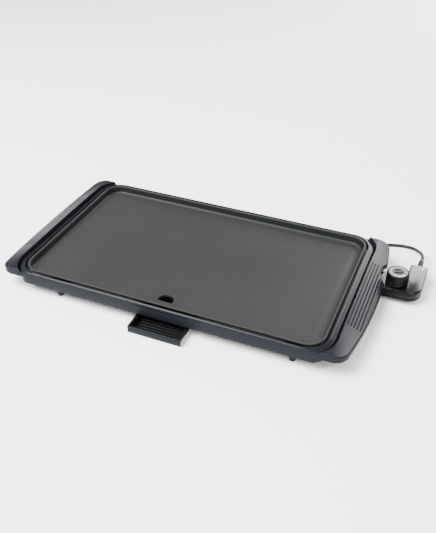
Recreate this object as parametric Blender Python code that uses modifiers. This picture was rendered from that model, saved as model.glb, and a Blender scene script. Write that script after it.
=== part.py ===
"""Electric griddle with a plug-in temperature control and a drip tray.

Sizes are in millimetres and become metres as each mesh is made. The griddle's own frame has its origin
on the table under the middle of the plate: +X towards the control, -Y towards the drip tray, +Z up. An
empty then moves everything so that the world's origin is under the middle of the whole object.
"""

import math

import bmesh
import bpy
from mathutils import Matrix, Vector

MM = 0.001
GAP = 0.3

# Cooking plate
PLATE_LENGTH = 500
PLATE_WIDTH = 297
PLATE_CORNER = 29
RIM_HEIGHT = 41
RIM_LIP = 3
PAN_DEPTH = 12
PAN_FLOOR = 3.5
WALL_RUN = 6
DRAIN_X = -4
DRAIN_IN = 26.5
DRAIN_RADIUS = 13
DRAIN_FLAT = 4

# Frame and handles
PLATE_GAP = 4.2
STRIP_WIDTH = 8.2
STRIP_DROP = 3.5
STRIP_BELOW_RIM = 1
FRONT_STRIP = 3.3
FRAME_WALL = 2.8
LEDGE_DEPTH = 6
LEDGE_UNDER_RIM = 1.3
SKIRT_HEIGHT = 23
CHANNEL_WIDTH = 4
HANDLE_WIDTH = 32.1
HANDLE_BULGE = 10.8
HANDLE_CORNER = 22
HANDLE_RISE = 2.5
HANDLE_DROP = 14.8
HANDLE_END_DROP = 2
HANDLE_WALL_END = 12.5
HANDLE_WALL_MIDDLE = 3.5
HANDLE_SKIN = 2.8
GRIP_LENGTH = 170
GRIP_COUNT = 5
GRIP_WIDTH = 1.2
GRIP_DEPTH = 0.8
GRIP_START = 4
GRIP_PITCH = 4.8
NOTCH_RADIUS = 36
NOTCH_OUT = 23.5
NOTCH_BACK = 12
SLOT_LENGTH = 90
SLOT_HEIGHT = 1.5
SLOT_DEPTH = 1
SLOT_BELOW_RIM = 7

# Feet and the screws that hold the plate
FOOT_LEFT_IN = 66
FOOT_RIGHT_IN = 42
FOOT_IN = 14
FOOT_RADIUS = 5
STEM_RADIUS = 2.5
TAB_HALF_LENGTH = 16
TAB_DEPTH = 35
TAB_THICKNESS = 3.5
PLATE_SCREW_IN = 14
SCREW_RADIUS = 1.7
SCREW_HEAD_RADIUS = 3.6
SCREW_HEAD_HEIGHT = 2.4

# Heating element, its terminals and their guard
HEAT_LINE_DEPTH = 5.5
ELEMENT_RADIUS = 3.1
ELEMENT_RIB_WALL = 2.8
ELEMENT_FRONT_IN = 74.5
ELEMENT_END_IN = 45
TERMINAL_IN = 18.5
TERMINAL_PITCH = 26
PIN_RADIUS = 2.3
PIN_REACH = 39
SOCKET_LENGTH = 50
GUARD_LENGTH = 24
GUARD_WALL = 1

# Drip tray and what it slides in
TRAY_X = 4
TRAY_WIDTH = 88
TRAY_DEPTH = 84
TRAY_HEIGHT = 11.5
TRAY_BOTTOM = 1.5
TRAY_OUT = 26
TRAY_WALL = 1.6
FLANGE_WIDTH = 3
FLANGE_THICKNESS = 2
RAIL_WALL = 2
SUPPORT_THICKNESS = 2.5
SUPPORT_DEPTH = 74
LEDGE_THICKNESS = 2.5
SPOUT_WALL = 2

# Control
CONTROL_Y = 65
CONTROL_LENGTH = 97
CONTROL_UNDER_HANDLE = 40.5
CONTROL_HALF_WIDTH = 22.5
CONTROL_BELOW = 11
CONTROL_SPLIT_BELOW = 4.5
CONTROL_ABOVE = 6.5
CONTROL_WALL = 2
CONTROL_CORNER = 22
ARM_WIDTH = 28
ARM_LENGTH = 60
PROBE_RADIUS = 3.1
PROBE_LENGTH = 92
SLEEVE_WALL = 1
SLEEVE_LENGTH = 27
BLOCK_THICKNESS = 10
KNOB_IN = 40.7
KNOB_RADIUS = 18
KNOB_HEIGHT = 20.3
KNOB_WALL = 2.2
DIAL_MARGIN = 2.8
DIAL_PLATE_THICKNESS = 0.9
SHAFT_RADIUS = 3
LENS_RADIUS = 3
LENS_IN = 8
LENS_FROM_END = 9

# Cord, hank and plug
CORD_RADIUS = 2.8
RELIEF_IN = 14
RELIEF_LENGTH = 25
RELIEF_HALF = 5.6
RELIEF_NECK = 3.6
HANK_FOLD = 18
HANK_RUN = 110
HANK_RIGHT_X = 165
HANK_Y = 171.5
HANK_BOTTOM = 1.5
HANK_LAYERS = 2
TIE_WIDTH = 12
TIE_THICKNESS = 1
PLUG_LENGTH = 32
PLUG_WIDTH = 20
PLUG_HEIGHT = 12.6
PLUG_COLLAR = 5
PLUG_BOTTOM = 0.6
PLUG_X = 211
PLUG_Y = 159.5
BLADE_LENGTH = 17.5
BLADE_PITCH = 12.7

CORNER_STEPS = 6
ROUND_SIDES = 24

# Heights and places that follow from the sizes above
FLOOR_TOP = RIM_HEIGHT - PAN_DEPTH
PLATE_UNDERSIDE = FLOOR_TOP - PAN_FLOOR
HEAT_LINE_Z = PLATE_UNDERSIDE - HEAT_LINE_DEPTH
ELEMENT_RIB = ELEMENT_RADIUS + GAP + ELEMENT_RIB_WALL
SLEEVE_BORE = PIN_RADIUS + GAP
DIAL_PLATE_RADIUS = KNOB_RADIUS - DIAL_MARGIN
STRIP_TOP = RIM_HEIGHT - STRIP_BELOW_RIM
SKIRT_BOTTOM = STRIP_TOP - SKIRT_HEIGHT
OPENING_HALF_LENGTH = PLATE_LENGTH / 2 + PLATE_GAP
OPENING_HALF_WIDTH = PLATE_WIDTH / 2 + PLATE_GAP
OPENING_CORNER = PLATE_CORNER + PLATE_GAP
FRAME_HALF_LENGTH = OPENING_HALF_LENGTH + STRIP_WIDTH
FRAME_HALF_WIDTH = OPENING_HALF_WIDTH + FRONT_STRIP
HANDLE_INNER_X = FRAME_HALF_LENGTH + CHANNEL_WIDTH
HANDLE_REACH = HANDLE_INNER_X + HANDLE_WIDTH
HANDLE_TOP = STRIP_TOP + HANDLE_RISE
FOOT_X = (FOOT_LEFT_IN - PLATE_LENGTH / 2, PLATE_LENGTH / 2 - FOOT_RIGHT_IN)
FOOT_Y = FRAME_HALF_WIDTH - FOOT_IN
PLATE_SCREW_Y = FOOT_Y - PLATE_SCREW_IN
DRAIN_Y = DRAIN_IN - PLATE_WIDTH / 2
ELEMENT_FRONT_Y = ELEMENT_FRONT_IN - PLATE_WIDTH / 2
ELEMENT_RIGHT_X = PLATE_LENGTH / 2 - ELEMENT_END_IN
TERMINAL_X = PLATE_LENGTH / 2 - TERMINAL_IN
TERMINAL_YS = {"front": CONTROL_Y - TERMINAL_PITCH / 2, "back": CONTROL_Y + TERMINAL_PITCH / 2}
TRAY_FRONT_Y = -FRAME_HALF_WIDTH - TRAY_OUT
TRAY_TOP = TRAY_BOTTOM + TRAY_HEIGHT
SUPPORT_BOTTOM = SKIRT_BOTTOM + LEDGE_THICKNESS + GAP
CONTROL_START_X = HANDLE_REACH - CONTROL_UNDER_HANDLE
CONTROL_END_X = CONTROL_START_X + CONTROL_LENGTH
CONTROL_BOTTOM = HEAT_LINE_Z - CONTROL_BELOW
CONTROL_SPLIT = HEAT_LINE_Z - CONTROL_SPLIT_BELOW
CONTROL_TOP = HEAT_LINE_Z + CONTROL_ABOVE
ARM_BACK_Y = CONTROL_Y + ARM_LENGTH
NOTCH_X = HANDLE_REACH + NOTCH_OUT
NOTCH_Y = CONTROL_Y + NOTCH_BACK
KNOB_X = CONTROL_END_X - KNOB_IN
LENS_X = CONTROL_END_X - LENS_IN
LENS_Y = ARM_BACK_Y - LENS_FROM_END
RELIEF_X = CONTROL_END_X - RELIEF_IN
CENTRE_X = (CONTROL_END_X - HANDLE_REACH) / 2
CENTRE_Y = (FRAME_HALF_WIDTH + TRAY_FRONT_Y) / 2

PAINTS = {
    "non_stick": ((0.085, 0.088, 0.085), 0.42, 0.0),
    "phenolic": ((0.045, 0.047, 0.055), 0.4, 0.0),
    "black_plastic": ((0.012, 0.013, 0.014), 0.35, 0.0),
    "rubber": ((0.01, 0.01, 0.01), 0.8, 0.0),
    "steel": ((0.55, 0.55, 0.56), 0.35, 1.0),
    "brass": ((0.6, 0.45, 0.18), 0.35, 1.0),
    "ceramic": ((0.75, 0.72, 0.65), 0.6, 0.0),
    "dial_print": ((0.6, 0.6, 0.6), 0.4, 0.0),
    "lens": ((0.7, 0.55, 0.5), 0.2, 0.0),
    "cord": ((0.01, 0.01, 0.01), 0.5, 0.0),
}


def clear_scene():
    for obj in list(bpy.data.objects):
        bpy.data.objects.remove(obj, do_unlink=True)


def make_materials():
    materials = {}
    for name, (color, roughness, metallic) in PAINTS.items():
        material = bpy.data.materials.new(name)
        material.use_nodes = True
        shader = material.node_tree.nodes["Principled BSDF"]
        shader.inputs["Base Color"].default_value = (*color, 1.0)
        shader.inputs["Roughness"].default_value = roughness
        shader.inputs["Metallic"].default_value = metallic
        materials[name] = material
    return materials


clear_scene()
MATERIALS = make_materials()
PARTS = bpy.data.collections.new("electric_griddle")
CUTTERS = bpy.data.collections.new("cutters")
bpy.context.scene.collection.children.link(PARTS)
bpy.context.scene.collection.children.link(CUTTERS)


# ---------------------------------------------------------------- empties and objects


def make_empty(name, place, parent=None, parent_place=(0, 0, 0)):
    """An empty at a place in the griddle's frame. Its own place is kept for the pieces that hang on it."""
    empty = bpy.data.objects.new(name, None)
    PARTS.objects.link(empty)
    empty.location = (Vector(place) - Vector(parent_place)) * MM
    empty.parent = parent
    empty["place"] = tuple(place)
    return empty


ORIGIN = make_empty("griddle_origin", (0, 0, 0))
ORIGIN.location = Vector((-CENTRE_X, -CENTRE_Y, 0)) * MM
TRAY_SLIDE = make_empty("tray_slide", (TRAY_X, TRAY_FRONT_Y, TRAY_TOP), ORIGIN)
CONTROL_SLIDE = make_empty("control_slide", (CONTROL_START_X, CONTROL_Y, HEAT_LINE_Z), ORIGIN)
DIAL_AXIS = make_empty("dial_axis", (KNOB_X, CONTROL_Y, CONTROL_TOP), CONTROL_SLIDE, CONTROL_SLIDE["place"])


def seat(obj, paint=None, parent=ORIGIN):
    """Parents a piece to an empty and keeps its place. A piece with no paint is a cutter."""
    obj.parent = parent
    obj.matrix_parent_inverse = Matrix.Translation(-Vector(parent["place"]) * MM)
    if paint is None:
        CUTTERS.objects.link(obj)
        obj.hide_render = True
        obj.display_type = "WIRE"
    else:
        PARTS.objects.link(obj)
        obj.data.materials.append(MATERIALS[paint])
    return obj


def mesh_object(name, bm, place=(0, 0, 0)):
    """Turns a bmesh in millimetres into an object in metres."""
    bmesh.ops.scale(bm, vec=(MM, MM, MM), verts=bm.verts)
    bmesh.ops.recalc_face_normals(bm, faces=bm.faces)
    mesh = bpy.data.meshes.new(name)
    bm.to_mesh(mesh)
    bm.free()
    obj = bpy.data.objects.new(name, mesh)
    obj.location = Vector(place) * MM
    return obj


def box(name, low, high, bevel=0):
    """A block between two opposite corners, with rounded edges if a bevel is given."""
    low, high = Vector(low), Vector(high)
    bm = bmesh.new()
    bmesh.ops.create_cube(bm, size=1)
    bmesh.ops.scale(bm, vec=high - low, verts=bm.verts)
    obj = mesh_object(name, bm, (low + high) / 2)
    if bevel:
        add_bevel(obj, bevel)
    return obj


def rod(name, radius, start, end, sides=ROUND_SIDES, bevel=0):
    """A round bar from start to end, which lie on one line along X, Y or Z."""
    start, end = Vector(start), Vector(end)
    bm = bmesh.new()
    bmesh.ops.create_cone(
        bm, cap_ends=True, segments=sides, radius1=radius, radius2=radius, depth=(end - start).length
    )
    turn = Vector((0, 0, 1)).rotation_difference(end - start).to_matrix()
    bmesh.ops.rotate(bm, verts=bm.verts, matrix=turn)
    obj = mesh_object(name, bm, (start + end) / 2)
    if bevel:
        add_bevel(obj, bevel)
    obj.data.shade_smooth()
    obj.data.set_sharp_from_angle(angle=math.radians(40))
    return obj


def bar_along_x(name, radius, start_x, end_x, y, sides=16, bevel=0):
    """A round bar on the heat line, where the pins, the probe and their sockets all lie."""
    return rod(name, radius, (start_x, y, HEAT_LINE_Z), (end_x, y, HEAT_LINE_Z), sides, bevel)


def turned(name, profile, place, axis="Z", steps=ROUND_SIDES):
    """A turned piece: the profile's (radius, height) points run down its outer side, top to bottom."""
    mesh = bpy.data.meshes.new(name)
    points = [(radius * MM, 0, height * MM) for radius, height in profile]
    mesh.from_pydata(points, [(i, i + 1) for i in range(len(points) - 1)], [])
    obj = bpy.data.objects.new(name, mesh)
    obj.location = Vector(place) * MM
    if axis == "Y":
        obj.rotation_euler = (math.radians(-90), 0, 0)
    screw = obj.modifiers.new("turn", "SCREW")
    screw.steps = steps
    screw.render_steps = steps
    screw.use_merge_vertices = True
    screw.merge_threshold = 0.00001
    screw.use_smooth_shade = True
    return obj


def add_bevel(obj, width, segments=2):
    bevel = obj.modifiers.new("round_edges", "BEVEL")
    bevel.width = width * MM
    bevel.segments = segments
    bevel.limit_method = "ANGLE"
    bevel.angle_limit = math.radians(40)


def combine(target, other, operation):
    """Cuts a piece with, or joins it to, a guide that stays in the cutters collection."""
    change = target.modifiers.new(operation.lower(), "BOOLEAN")
    change.operation = operation
    change.object = seat(other)
    change.solver = "EXACT"


def cut(target, *others):
    for other in others:
        combine(target, other, "DIFFERENCE")


def join(target, *others):
    for other in others:
        combine(target, other, "UNION")


# ---------------------------------------------------------------- outlines and lofts


def rounded_outline(half_length, half_width, radius, limit=None):
    """Points of a rounded rectangle, anticlockwise. A limit flattens it where it passes that half width."""
    points = []
    for quarter, (sx, sy) in enumerate(((1, -1), (1, 1), (-1, 1), (-1, -1))):
        centre = Vector((sx * (half_length - radius), sy * (half_width - radius)))
        for step in range(CORNER_STEPS + 1):
            angle = math.radians(90 * (quarter - 1 + step / CORNER_STEPS))
            x = centre.x + radius * math.cos(angle)
            y = centre.y + radius * math.sin(angle)
            if limit is not None:
                y = max(-limit, min(limit, y))
            points.append((x, y))
    return points


def loft(name, rings, closed=False):
    """A skin through rings of (points, height). It ends in caps, or joins its last ring to its first."""
    bm = bmesh.new()
    loops = [[bm.verts.new((x, y, height)) for x, y in points] for points, height in rings]
    count = len(loops[0])
    pairs = list(zip(loops, loops[1:]))
    if closed:
        pairs.append((loops[-1], loops[0]))
    for lower, upper in pairs:
        for i in range(count):
            j = (i + 1) % count
            bm.faces.new((lower[i], lower[j], upper[j], upper[i]))
    if not closed:
        bm.faces.new(list(reversed(loops[0])))
        bm.faces.new(loops[-1])
    bmesh.ops.remove_doubles(bm, verts=bm.verts, dist=0.001)
    bmesh.ops.triangulate(bm, faces=bm.faces)
    return mesh_object(name, bm)


def arc_points(centre, radius, start, end, steps):
    """Points on an arc, from one angle to another in degrees."""
    angles = [math.radians(start + (end - start) * i / steps) for i in range(steps + 1)]
    return [(centre[0] + radius * math.cos(a), centre[1] + radius * math.sin(a)) for a in angles]


def round_corners(corners, steps=4):
    """Rounds each (x, y, radius) corner of a path or outline with an arc. Corners with no radius stay."""
    points = []
    count = len(corners)
    for i, (x, y, radius) in enumerate(corners):
        here = Vector((x, y))
        if not radius:
            points.append((x, y))
            continue
        before = (Vector(corners[i - 1][:2]) - here).normalized()
        after = (Vector(corners[(i + 1) % count][:2]) - here).normalized()
        half_angle = before.angle(after) / 2
        centre = here + (before + after).normalized() * radius / math.sin(half_angle)
        first = here + before * radius / math.tan(half_angle) - centre
        last = here + after * radius / math.tan(half_angle) - centre
        sweep = first.angle_signed(last)
        for step in range(steps + 1):
            turned_arm = first.copy()
            turned_arm.rotate(Matrix.Rotation(-sweep * step / steps, 2))
            points.append(tuple(centre + turned_arm))
    return points


def prism(name, points, low, high):
    """A flat outline given a height. The filled curve is made a mesh, so that it can be cut."""
    curve = bpy.data.curves.new(f"{name}_outline", "CURVE")
    curve.dimensions = "2D"
    curve.fill_mode = "BOTH"
    curve.extrude = (high - low) / 2 * MM
    spline = curve.splines.new("POLY")
    spline.use_cyclic_u = True
    spline.points.add(len(points) - 1)
    for point, (x, y) in zip(spline.points, points):
        point.co = (x * MM, y * MM, 0, 1)
    guide = bpy.data.objects.new(f"{name}_outline", curve)
    guide.location = (0, 0, (low + high) / 2 * MM)
    return made_mesh(guide, name)


def made_mesh(guide, name):
    """Replaces a curve by a closed mesh with the same shape and place."""
    bpy.context.scene.collection.objects.link(guide)
    bpy.context.view_layer.update()
    evaluated = guide.evaluated_get(bpy.context.evaluated_depsgraph_get())
    mesh = bpy.data.meshes.new_from_object(evaluated)
    bm = bmesh.new()
    bm.from_mesh(mesh)
    bmesh.ops.remove_doubles(bm, verts=bm.verts, dist=0.00001)
    bmesh.ops.recalc_face_normals(bm, faces=bm.faces)
    bm.to_mesh(mesh)
    bm.free()
    mesh.materials.clear()
    obj = bpy.data.objects.new(name, mesh)
    obj.matrix_world = guide.matrix_world
    bpy.data.objects.remove(guide)
    return obj


def tube(name, points, radius, resolution=2):
    """A round tube along the points, as a curve with filled caps."""
    curve = bpy.data.curves.new(name, "CURVE")
    curve.dimensions = "3D"
    curve.bevel_depth = radius * MM
    curve.bevel_resolution = resolution
    curve.use_fill_caps = True
    spline = curve.splines.new("POLY")
    spline.points.add(len(points) - 1)
    for point, place in zip(spline.points, points):
        point.co = (*(Vector(place) * MM), 1)
    return bpy.data.objects.new(name, curve)


def height_block(name, low_corner, high_corner, top, bottom):
    """A block with a flat underside whose top is ruled along X between heights worked out at its edges."""
    bm = bmesh.new()
    bmesh.ops.create_grid(bm, x_segments=1, y_segments=14, size=0.5)
    size = Vector(high_corner) - Vector(low_corner)
    middle = (Vector(high_corner) + Vector(low_corner)) / 2
    for vert in bm.verts:
        vert.co.x = vert.co.x * size.x + middle.x
        vert.co.y = vert.co.y * size.y + middle.y
        vert.co.z = top(vert.co.x, vert.co.y)
    lowered = bmesh.ops.extrude_face_region(bm, geom=list(bm.faces))
    for item in lowered["geom"]:
        if isinstance(item, bmesh.types.BMVert):
            item.co.z = bottom
    bmesh.ops.triangulate(bm, faces=bm.faces)
    return mesh_object(name, bm)


# ---------------------------------------------------------------- cooking plate and its element


def element_path():
    """The element runs from the front terminal round under the plate to the back terminal."""
    corners = [
        (TERMINAL_X, TERMINAL_YS["front"], 0),
        (ELEMENT_RIGHT_X, TERMINAL_YS["front"], 11),
        (ELEMENT_RIGHT_X, ELEMENT_FRONT_Y, 24),
        (-ELEMENT_RIGHT_X, ELEMENT_FRONT_Y, 24),
        (-ELEMENT_RIGHT_X, TERMINAL_YS["back"], 24),
        (TERMINAL_X, TERMINAL_YS["back"], 0),
    ]
    return [(x, y, HEAT_LINE_Z) for x, y in round_corners(corners)]


def pan_ring(inset, height):
    """A ring of the pan, a distance in from the rim's outer edge."""
    outline = rounded_outline(PLATE_LENGTH / 2 - inset, PLATE_WIDTH / 2 - inset, PLATE_CORNER - inset)
    return outline, height


def drain_cutter():
    """The drain is round with its side towards the tray flattened."""
    hole = rod("drain_cut", DRAIN_RADIUS, (DRAIN_X, DRAIN_Y, 0), (DRAIN_X, DRAIN_Y, RIM_HEIGHT))
    side = DRAIN_RADIUS + 1
    low = (DRAIN_X - side, DRAIN_Y - DRAIN_FLAT - side, -1)
    high = (DRAIN_X + side, DRAIN_Y - DRAIN_FLAT, RIM_HEIGHT + 1)
    cut(hole, box("drain_flat", low, high))
    return hole


def support_screw_places():
    spread = TRAY_WIDTH / 2 - 12
    back = -FRAME_HALF_WIDTH + SUPPORT_DEPTH - 4
    return {"left": (TRAY_X - spread, back), "right": (TRAY_X + spread, back)}


def guard_screw_places():
    x = TERMINAL_X - GUARD_LENGTH / 2
    reach = guard_half_width() + 5
    return {"front": (x, CONTROL_Y - reach), "back": (x, CONTROL_Y + reach)}


def plate_screw_places():
    sides = {"left": FOOT_X[0], "right": FOOT_X[1]}
    rows = {"front": -PLATE_SCREW_Y, "back": PLATE_SCREW_Y}
    return {f"{row}_{side}": (x, y) for row, y in rows.items() for side, x in sides.items()}


def build_plate():
    floor_inset = RIM_LIP + WALL_RUN
    rings = [
        pan_ring(floor_inset - 2, PLATE_UNDERSIDE),
        pan_ring(1, RIM_HEIGHT - 3.5),
        pan_ring(0, RIM_HEIGHT - 2),
        pan_ring(0, RIM_HEIGHT - 1),
        pan_ring(0.8, RIM_HEIGHT),
        pan_ring(RIM_LIP, RIM_HEIGHT),
        pan_ring(RIM_LIP + 1, RIM_HEIGHT - 0.8),
        pan_ring(floor_inset - 3, FLOOR_TOP + 2.2),
        pan_ring(floor_inset, FLOOR_TOP),
    ]
    plate = loft("griddle_plate", rings)
    boss_end = SUPPORT_BOTTOM + SUPPORT_THICKNESS + GAP
    for x, y in support_screw_places().values():
        join(plate, rod("support_boss", 4.5, (x, y, boss_end), (x, y, PLATE_UNDERSIDE + 1), 12))
    screws = [*plate_screw_places().values(), *support_screw_places().values(), *guard_screw_places().values()]
    for x, y in screws:
        cut(plate, rod("plate_tap", SCREW_RADIUS + GAP, (x, y, 0), (x, y, FLOOR_TOP - 1), 12))
    cut(plate, drain_cutter())
    build_plate_ribs(plate)
    seat(plate, "non_stick")


def build_plate_ribs(plate):
    """The cast-in rib that holds the element, and the socket for the probe between its ends."""
    path = element_path()
    join(plate, made_mesh(tube("element_rib_line", path, ELEMENT_RIB), "element_rib"))
    start, end = TERMINAL_X - 3 - SOCKET_LENGTH, TERMINAL_X - 3
    join(plate, bar_along_x("socket_boss", ELEMENT_RIB, start, end, CONTROL_Y))
    land_low = (start, TERMINAL_YS["front"], HEAT_LINE_Z - 4)
    land_high = (end, TERMINAL_YS["back"], PLATE_UNDERSIDE + 1)
    join(plate, box("terminal_land", land_low, land_high))
    path[0] = (TERMINAL_X + 5, path[0][1], HEAT_LINE_Z)
    path[-1] = (TERMINAL_X + 5, path[-1][1], HEAT_LINE_Z)
    cut(plate, made_mesh(tube("element_bore_line", path, ELEMENT_RADIUS + GAP), "element_bore"))
    cut(plate, bar_along_x("socket_bore", PROBE_RADIUS + GAP, start + 5, TERMINAL_X + 2, CONTROL_Y))


def build_element():
    seat(tube("heating_element", element_path(), ELEMENT_RADIUS), "steel")
    for name, y in TERMINAL_YS.items():
        start = TERMINAL_X + GAP
        pin = bar_along_x(f"terminal_pin_{name}", PIN_RADIUS, start, start + PIN_REACH, y)
        seat(pin, "steel")
        insulator = bar_along_x(f"terminal_insulator_{name}", PIN_RADIUS + 2, start, start + 6, y)
        cut(insulator, bar_along_x("insulator_hole", PIN_RADIUS + GAP, start - 1, start + 7, y))
        seat(insulator, "ceramic")


def guard_half_width():
    return TERMINAL_PITCH / 2 + ELEMENT_RIB + GUARD_WALL + 0.5


def build_guard():
    """A steel channel that hangs under the plate round the terminals, on two turned-out flanges."""
    half = guard_half_width()
    bottom = HEAT_LINE_Z - ELEMENT_RIB - GUARD_WALL - GAP
    top = PLATE_UNDERSIDE - GAP
    start = TERMINAL_X + 9 - GUARD_LENGTH
    end = TERMINAL_X + 9
    guard = box("terminal_guard", (start, CONTROL_Y - half, bottom), (end, CONTROL_Y + half, top))
    inner = half - GUARD_WALL
    inside_low = (start - 1, CONTROL_Y - inner, bottom + GUARD_WALL)
    cut(guard, box("guard_inside", inside_low, (end + 1, CONTROL_Y + inner, top + 1)))
    for side in (-1, 1):
        ys = sorted((CONTROL_Y + side * (half - GUARD_WALL / 2), CONTROL_Y + side * (half + 10)))
        join(guard, box("guard_flange", (start, ys[0], top - GUARD_WALL), (end, ys[1], top)))
    for name, (x, y) in guard_screw_places().items():
        cut(guard, rod("guard_hole", SCREW_RADIUS + GAP, (x, y, 0), (x, y, RIM_HEIGHT), 12))
        seat(make_screw(f"guard_screw_{name}", x, y, top - GUARD_WALL - GAP, FLOOR_TOP - 1.3), "steel")
    seat(guard, "steel")


def make_screw(name, x, y, head_top, end):
    """A pan-head screw that is driven upwards: the head is below head_top and the shank ends at end."""
    profile = [
        (0, end),
        (SCREW_RADIUS - 0.4, end),
        (SCREW_RADIUS, end - 0.8),
        (SCREW_RADIUS, head_top),
        (SCREW_HEAD_RADIUS, head_top),
        (SCREW_HEAD_RADIUS, head_top - SCREW_HEAD_HEIGHT * 0.5),
        (SCREW_HEAD_RADIUS * 0.7, head_top - SCREW_HEAD_HEIGHT),
        (0, head_top - SCREW_HEAD_HEIGHT),
    ]
    return turned(name, profile, (x, y, 0), steps=12)


# ---------------------------------------------------------------- frame with its handles


def handle_outer_x(y):
    """The handle's outer edge bows out, furthest at the middle."""
    share = y / (FRAME_HALF_WIDTH - HANDLE_CORNER)
    return HANDLE_REACH - HANDLE_BULGE * share * share


def handle_top(x, y):
    """The handle's top falls away outwards, most at the middle, and is level with the frame at its ends."""
    along = abs(y) / FRAME_HALF_WIDTH
    inner = HANDLE_TOP - HANDLE_RISE * along * along
    drop = (HANDLE_DROP - HANDLE_END_DROP) * (1 - along * along) + HANDLE_END_DROP
    return inner - drop * (x - HANDLE_INNER_X) / (handle_outer_x(y) - HANDLE_INNER_X)


def handle_bottom(y):
    """The handle's side wall is deepest at its ends."""
    along = abs(y) / FRAME_HALF_WIDTH
    middle = HANDLE_TOP - HANDLE_DROP - HANDLE_WALL_MIDDLE
    end = STRIP_TOP - HANDLE_WALL_END
    return middle + (end - middle) * along * along


def handle_outline(inset):
    """The right handle from above: round the plate's corner on the inside, bowed on the outside."""
    corner_x = OPENING_HALF_LENGTH - OPENING_CORNER
    corner_y = OPENING_HALF_WIDTH - OPENING_CORNER
    inner_radius = HANDLE_INNER_X - corner_x + inset
    end_y = FRAME_HALF_WIDTH - inset
    sweep = math.degrees(math.asin((end_y - corner_y) / inner_radius))
    inner = arc_points((corner_x, corner_y), inner_radius, 0, sweep, 6)
    bow_end = FRAME_HALF_WIDTH - HANDLE_CORNER
    corner = HANDLE_CORNER - inset
    centre_x = handle_outer_x(bow_end) - HANDLE_CORNER
    outer = arc_points((centre_x, bow_end), corner, 90, 0, 6)
    bow = [(handle_outer_x(bow_end * s) - inset, bow_end * s) for s in (0.8, 0.6, 0.4, 0.2, 0)]
    half = inner + outer + bow
    mirrored = [(x, -y) for x, y in reversed(half[:-1])]
    return half + mirrored


def handle_block(name, top):
    """A block over the whole handle. Its top is a height worked out at each place."""
    low = (HANDLE_INNER_X - 30, -FRAME_HALF_WIDTH - 4)
    high = (HANDLE_REACH + 6, FRAME_HALF_WIDTH + 4)
    return height_block(name, low, high, top, 0)


def handle_solid(name, inset):
    """The outline made solid between its bottom edge and its sloping top, both moved in by the inset."""
    body = prism(name, handle_outline(inset), 5, HANDLE_TOP + 10)
    combine(body, handle_block(f"{name}_top", lambda x, y: handle_top(x, y) - inset), "INTERSECT")
    if not inset:
        cut(body, handle_block(f"{name}_bottom", lambda x, y: handle_bottom(y)))
    return body


def grip_bars():
    """Narrow bars that follow the handle's top a little below it, one for each grip groove."""
    bars = []
    for i in range(GRIP_COUNT):
        x = HANDLE_INNER_X + GRIP_START + i * GRIP_PITCH
        bar = box(f"grip_{i}", (x, -GRIP_LENGTH / 2, 20), (x + GRIP_WIDTH, GRIP_LENGTH / 2, HANDLE_TOP + 5))
        cut(bar, handle_block(f"grip_floor_{i}", lambda x, y: handle_top(x, y) - GRIP_DEPTH))
        bars.append(bar)
    return bars


def handle_shells():
    """Both handles: the right one is shaped, and mirrored to make the left one."""
    shell = handle_solid("handles", 0)
    cut(shell, handle_solid("handle_hollow", HANDLE_SKIN))
    cut(shell, *grip_bars())
    mirror = shell.modifiers.new("other_side", "MIRROR")
    mirror.mirror_object = ORIGIN
    mirror.use_mirror_merge = False
    return shell


def skirt_ring():
    """The frame's rim strip, skirt and inner ledge: one loop with flat front and back faces."""

    def frame_ring(inset):
        half_length = FRAME_HALF_LENGTH - inset
        half_width = OPENING_HALF_WIDTH + STRIP_WIDTH - inset
        radius = OPENING_CORNER + STRIP_WIDTH - inset
        return rounded_outline(half_length, half_width, radius, FRAME_HALF_WIDTH - inset)

    outer = frame_ring(0)
    inside = frame_ring(FRAME_WALL)
    opening = rounded_outline(OPENING_HALF_LENGTH, OPENING_HALF_WIDTH, OPENING_CORNER)
    reach = PLATE_GAP + LEDGE_UNDER_RIM
    ledge = rounded_outline(OPENING_HALF_LENGTH - reach, OPENING_HALF_WIDTH - reach, OPENING_CORNER - reach)
    ledge_top = STRIP_TOP - LEDGE_DEPTH
    rings = [
        (outer, SKIRT_BOTTOM),
        (outer, STRIP_TOP - STRIP_DROP),
        (opening, STRIP_TOP),
        (opening, ledge_top),
        (ledge, ledge_top),
        (ledge, ledge_top - 1.6),
        (inside, ledge_top - 3.2),
        (inside, SKIRT_BOTTOM),
    ]
    return loft("base_frame", rings, closed=True)


def corner_bridges(frame):
    """Below the top, the front and back faces run on across the channel's mouths into the handles."""
    mouth = OPENING_HALF_LENGTH - OPENING_CORNER
    top = STRIP_TOP - STRIP_DROP - 0.5
    bottom = STRIP_TOP - HANDLE_WALL_END + 0.3
    for sx in (-1, 1):
        for sy in (-1, 1):
            xs = sorted((sx * (mouth + 20), sx * (mouth + 36)))
            ys = sorted((sy * (FRAME_HALF_WIDTH - 0.1), sy * (FRAME_HALF_WIDTH - 3)))
            join(frame, box("corner_bridge", (xs[0], ys[0], bottom), (xs[1], ys[1], top)))


def channel_webs(frame):
    """Low webs cross the channel and carry the handles along their length."""
    top = STRIP_TOP - STRIP_DROP - 6
    for sx in (-1, 1):
        for y in (-100, -50, 0, 120):
            xs = sorted((sx * (FRAME_HALF_LENGTH - 1), sx * (HANDLE_INNER_X + 1)))
            join(frame, box("channel_web", (xs[0], y - 1.5, top - 6), (xs[1], y + 1.5, top)))


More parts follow.
